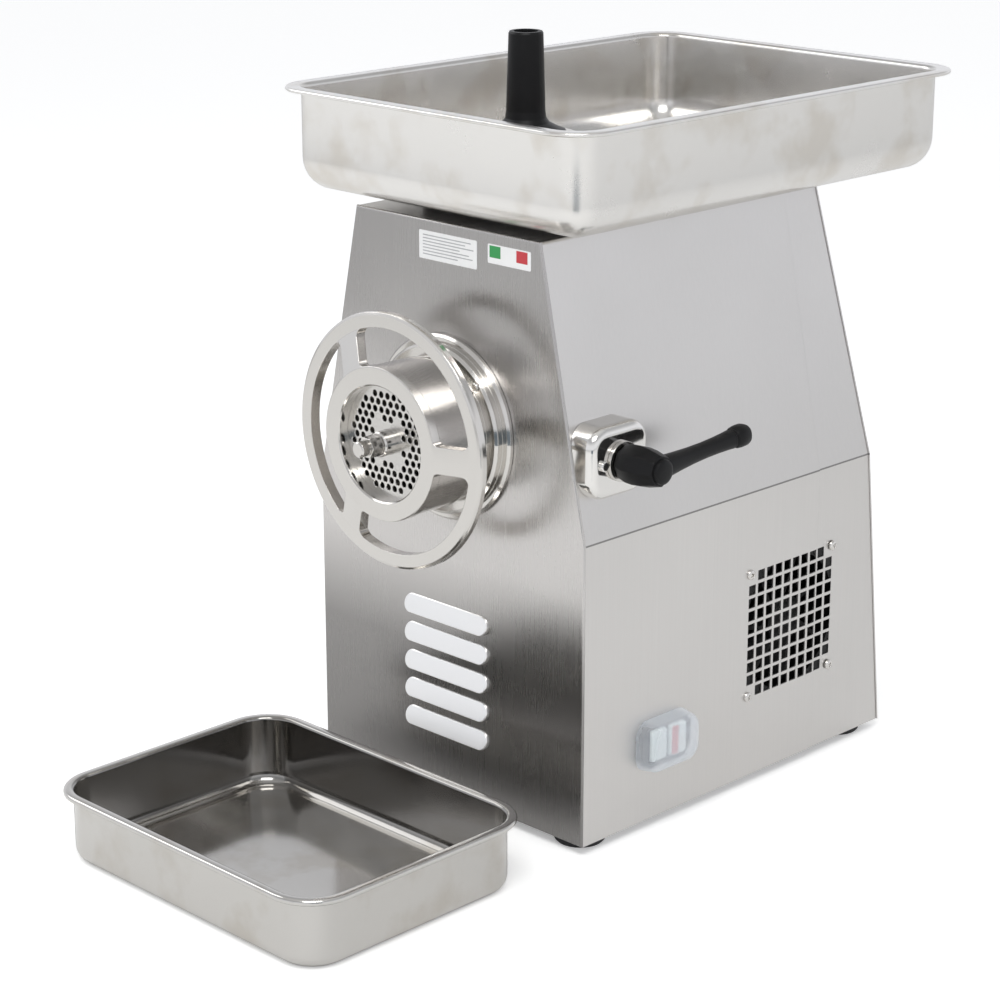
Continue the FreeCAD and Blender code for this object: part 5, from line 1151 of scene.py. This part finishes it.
# %% Red bar on the stop key
BAR_WIDTH, BAR_INSET, BAR_MARGIN = 7.5 * MM, 1.2 * MM, 1.5 * MM
BAR_PROUD, BAR_DEPTH, BAR_ROUND = 0.15 * MM, 3 * MM, 0.5 * MM
low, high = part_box("stop_button")
bar_y, bar_z = low.y + BAR_INSET + BAR_WIDTH / 2, (low.z + high.z) / 2
bar_half_z = (high.z - low.z) / 2 - BAR_MARGIN
bar_face = high.x + BAR_PROUD
bar_rings = [[(x, bar_y + a, bar_z + b)
              for a, b in rounded_rectangle(BAR_WIDTH / 2 - i, bar_half_z - i, 1.6 * MM, 5)]
             for x, i in ((high.x - BAR_DEPTH, 0), (bar_face - BAR_ROUND, 0),
                          (bar_face, BAR_ROUND))]
bar = object_from("stop_bar", loft(bar_rings), "stop_cap", body_named("stop_button"))
print("bar faces", len(bar.data.polygons))

# %% [markdown]
# ## Labels
#
# Two printed foils are stuck on the front. One is plain white with ruled lines. The other has a green
# and a red square. They stand a quarter of a millimetre proud, with round corners so that they don't
# peel. Print could be a pattern in the foil's material. A second skin just proud of the foil keeps
# its edges sharp from close by.

# %% Foils
LABEL_PROUD = 0.25 * MM
PRINT_PROUD = LABEL_PROUD + 0.06 * MM
# Left, right, foot and top, in millimetres.
TEXT_FOIL = (-28.2, 34.6, 445.3, 467.4)
COLOUR_FOIL = (46, 91, 452.7, 467.4)


def foil(x0, x1, z0, z1, proud, corner=1.2):
    """A thin leaf with round corners on the front sheet."""
    rings = []
    for y in (SHEET_FACE + 0.02 * MM, SHEET_FACE - proud):
        ring = rounded_rectangle((x1 - x0) / 2 * MM, (z1 - z0) / 2 * MM, corner * MM, 5)
        rings.append([((x0 + x1) / 2 * MM + a, y, (z0 + z1) / 2 * MM + b) for a, b in ring])
    return loft(rings)


foils = joined(foil(*TEXT_FOIL, LABEL_PROUD), foil(*COLOUR_FOIL, LABEL_PROUD))
object_from("label_foils", foils, "label_face", "cabinet", "front_labels")
print("foil faces", len(foils.polygons))

# %% Print
RULE_LENGTHS = (52, 46, 55, 40, 50, 54, 38)
RULE_LEFT, RULE_FOOT, RULE_PITCH, RULE_THICK = -24, 463.6, 2.45, 0.8
SQUARE_FOOT, SQUARE_TOP, SQUARE_WIDE = 457.3, 466.3, 11.5
rules = []
for i, length in enumerate(RULE_LENGTHS):
    foot = RULE_FOOT - RULE_PITCH * i
    rules.append(foil(RULE_LEFT, RULE_LEFT + length, foot, foot + RULE_THICK, PRINT_PROUD, 0.3))
object_from("label_rules", joined(*rules), "print_grey", "cabinet")
for name, finish, left in (("label_green", "print_green", 48), ("label_red", "print_red", 76)):
    square = foil(left, left + SQUARE_WIDE, SQUARE_FOOT, SQUARE_TOP, PRINT_PROUD, 0.2)
    object_from(name, square, finish, "cabinet")
print(len(rules), "rules and 2 squares")
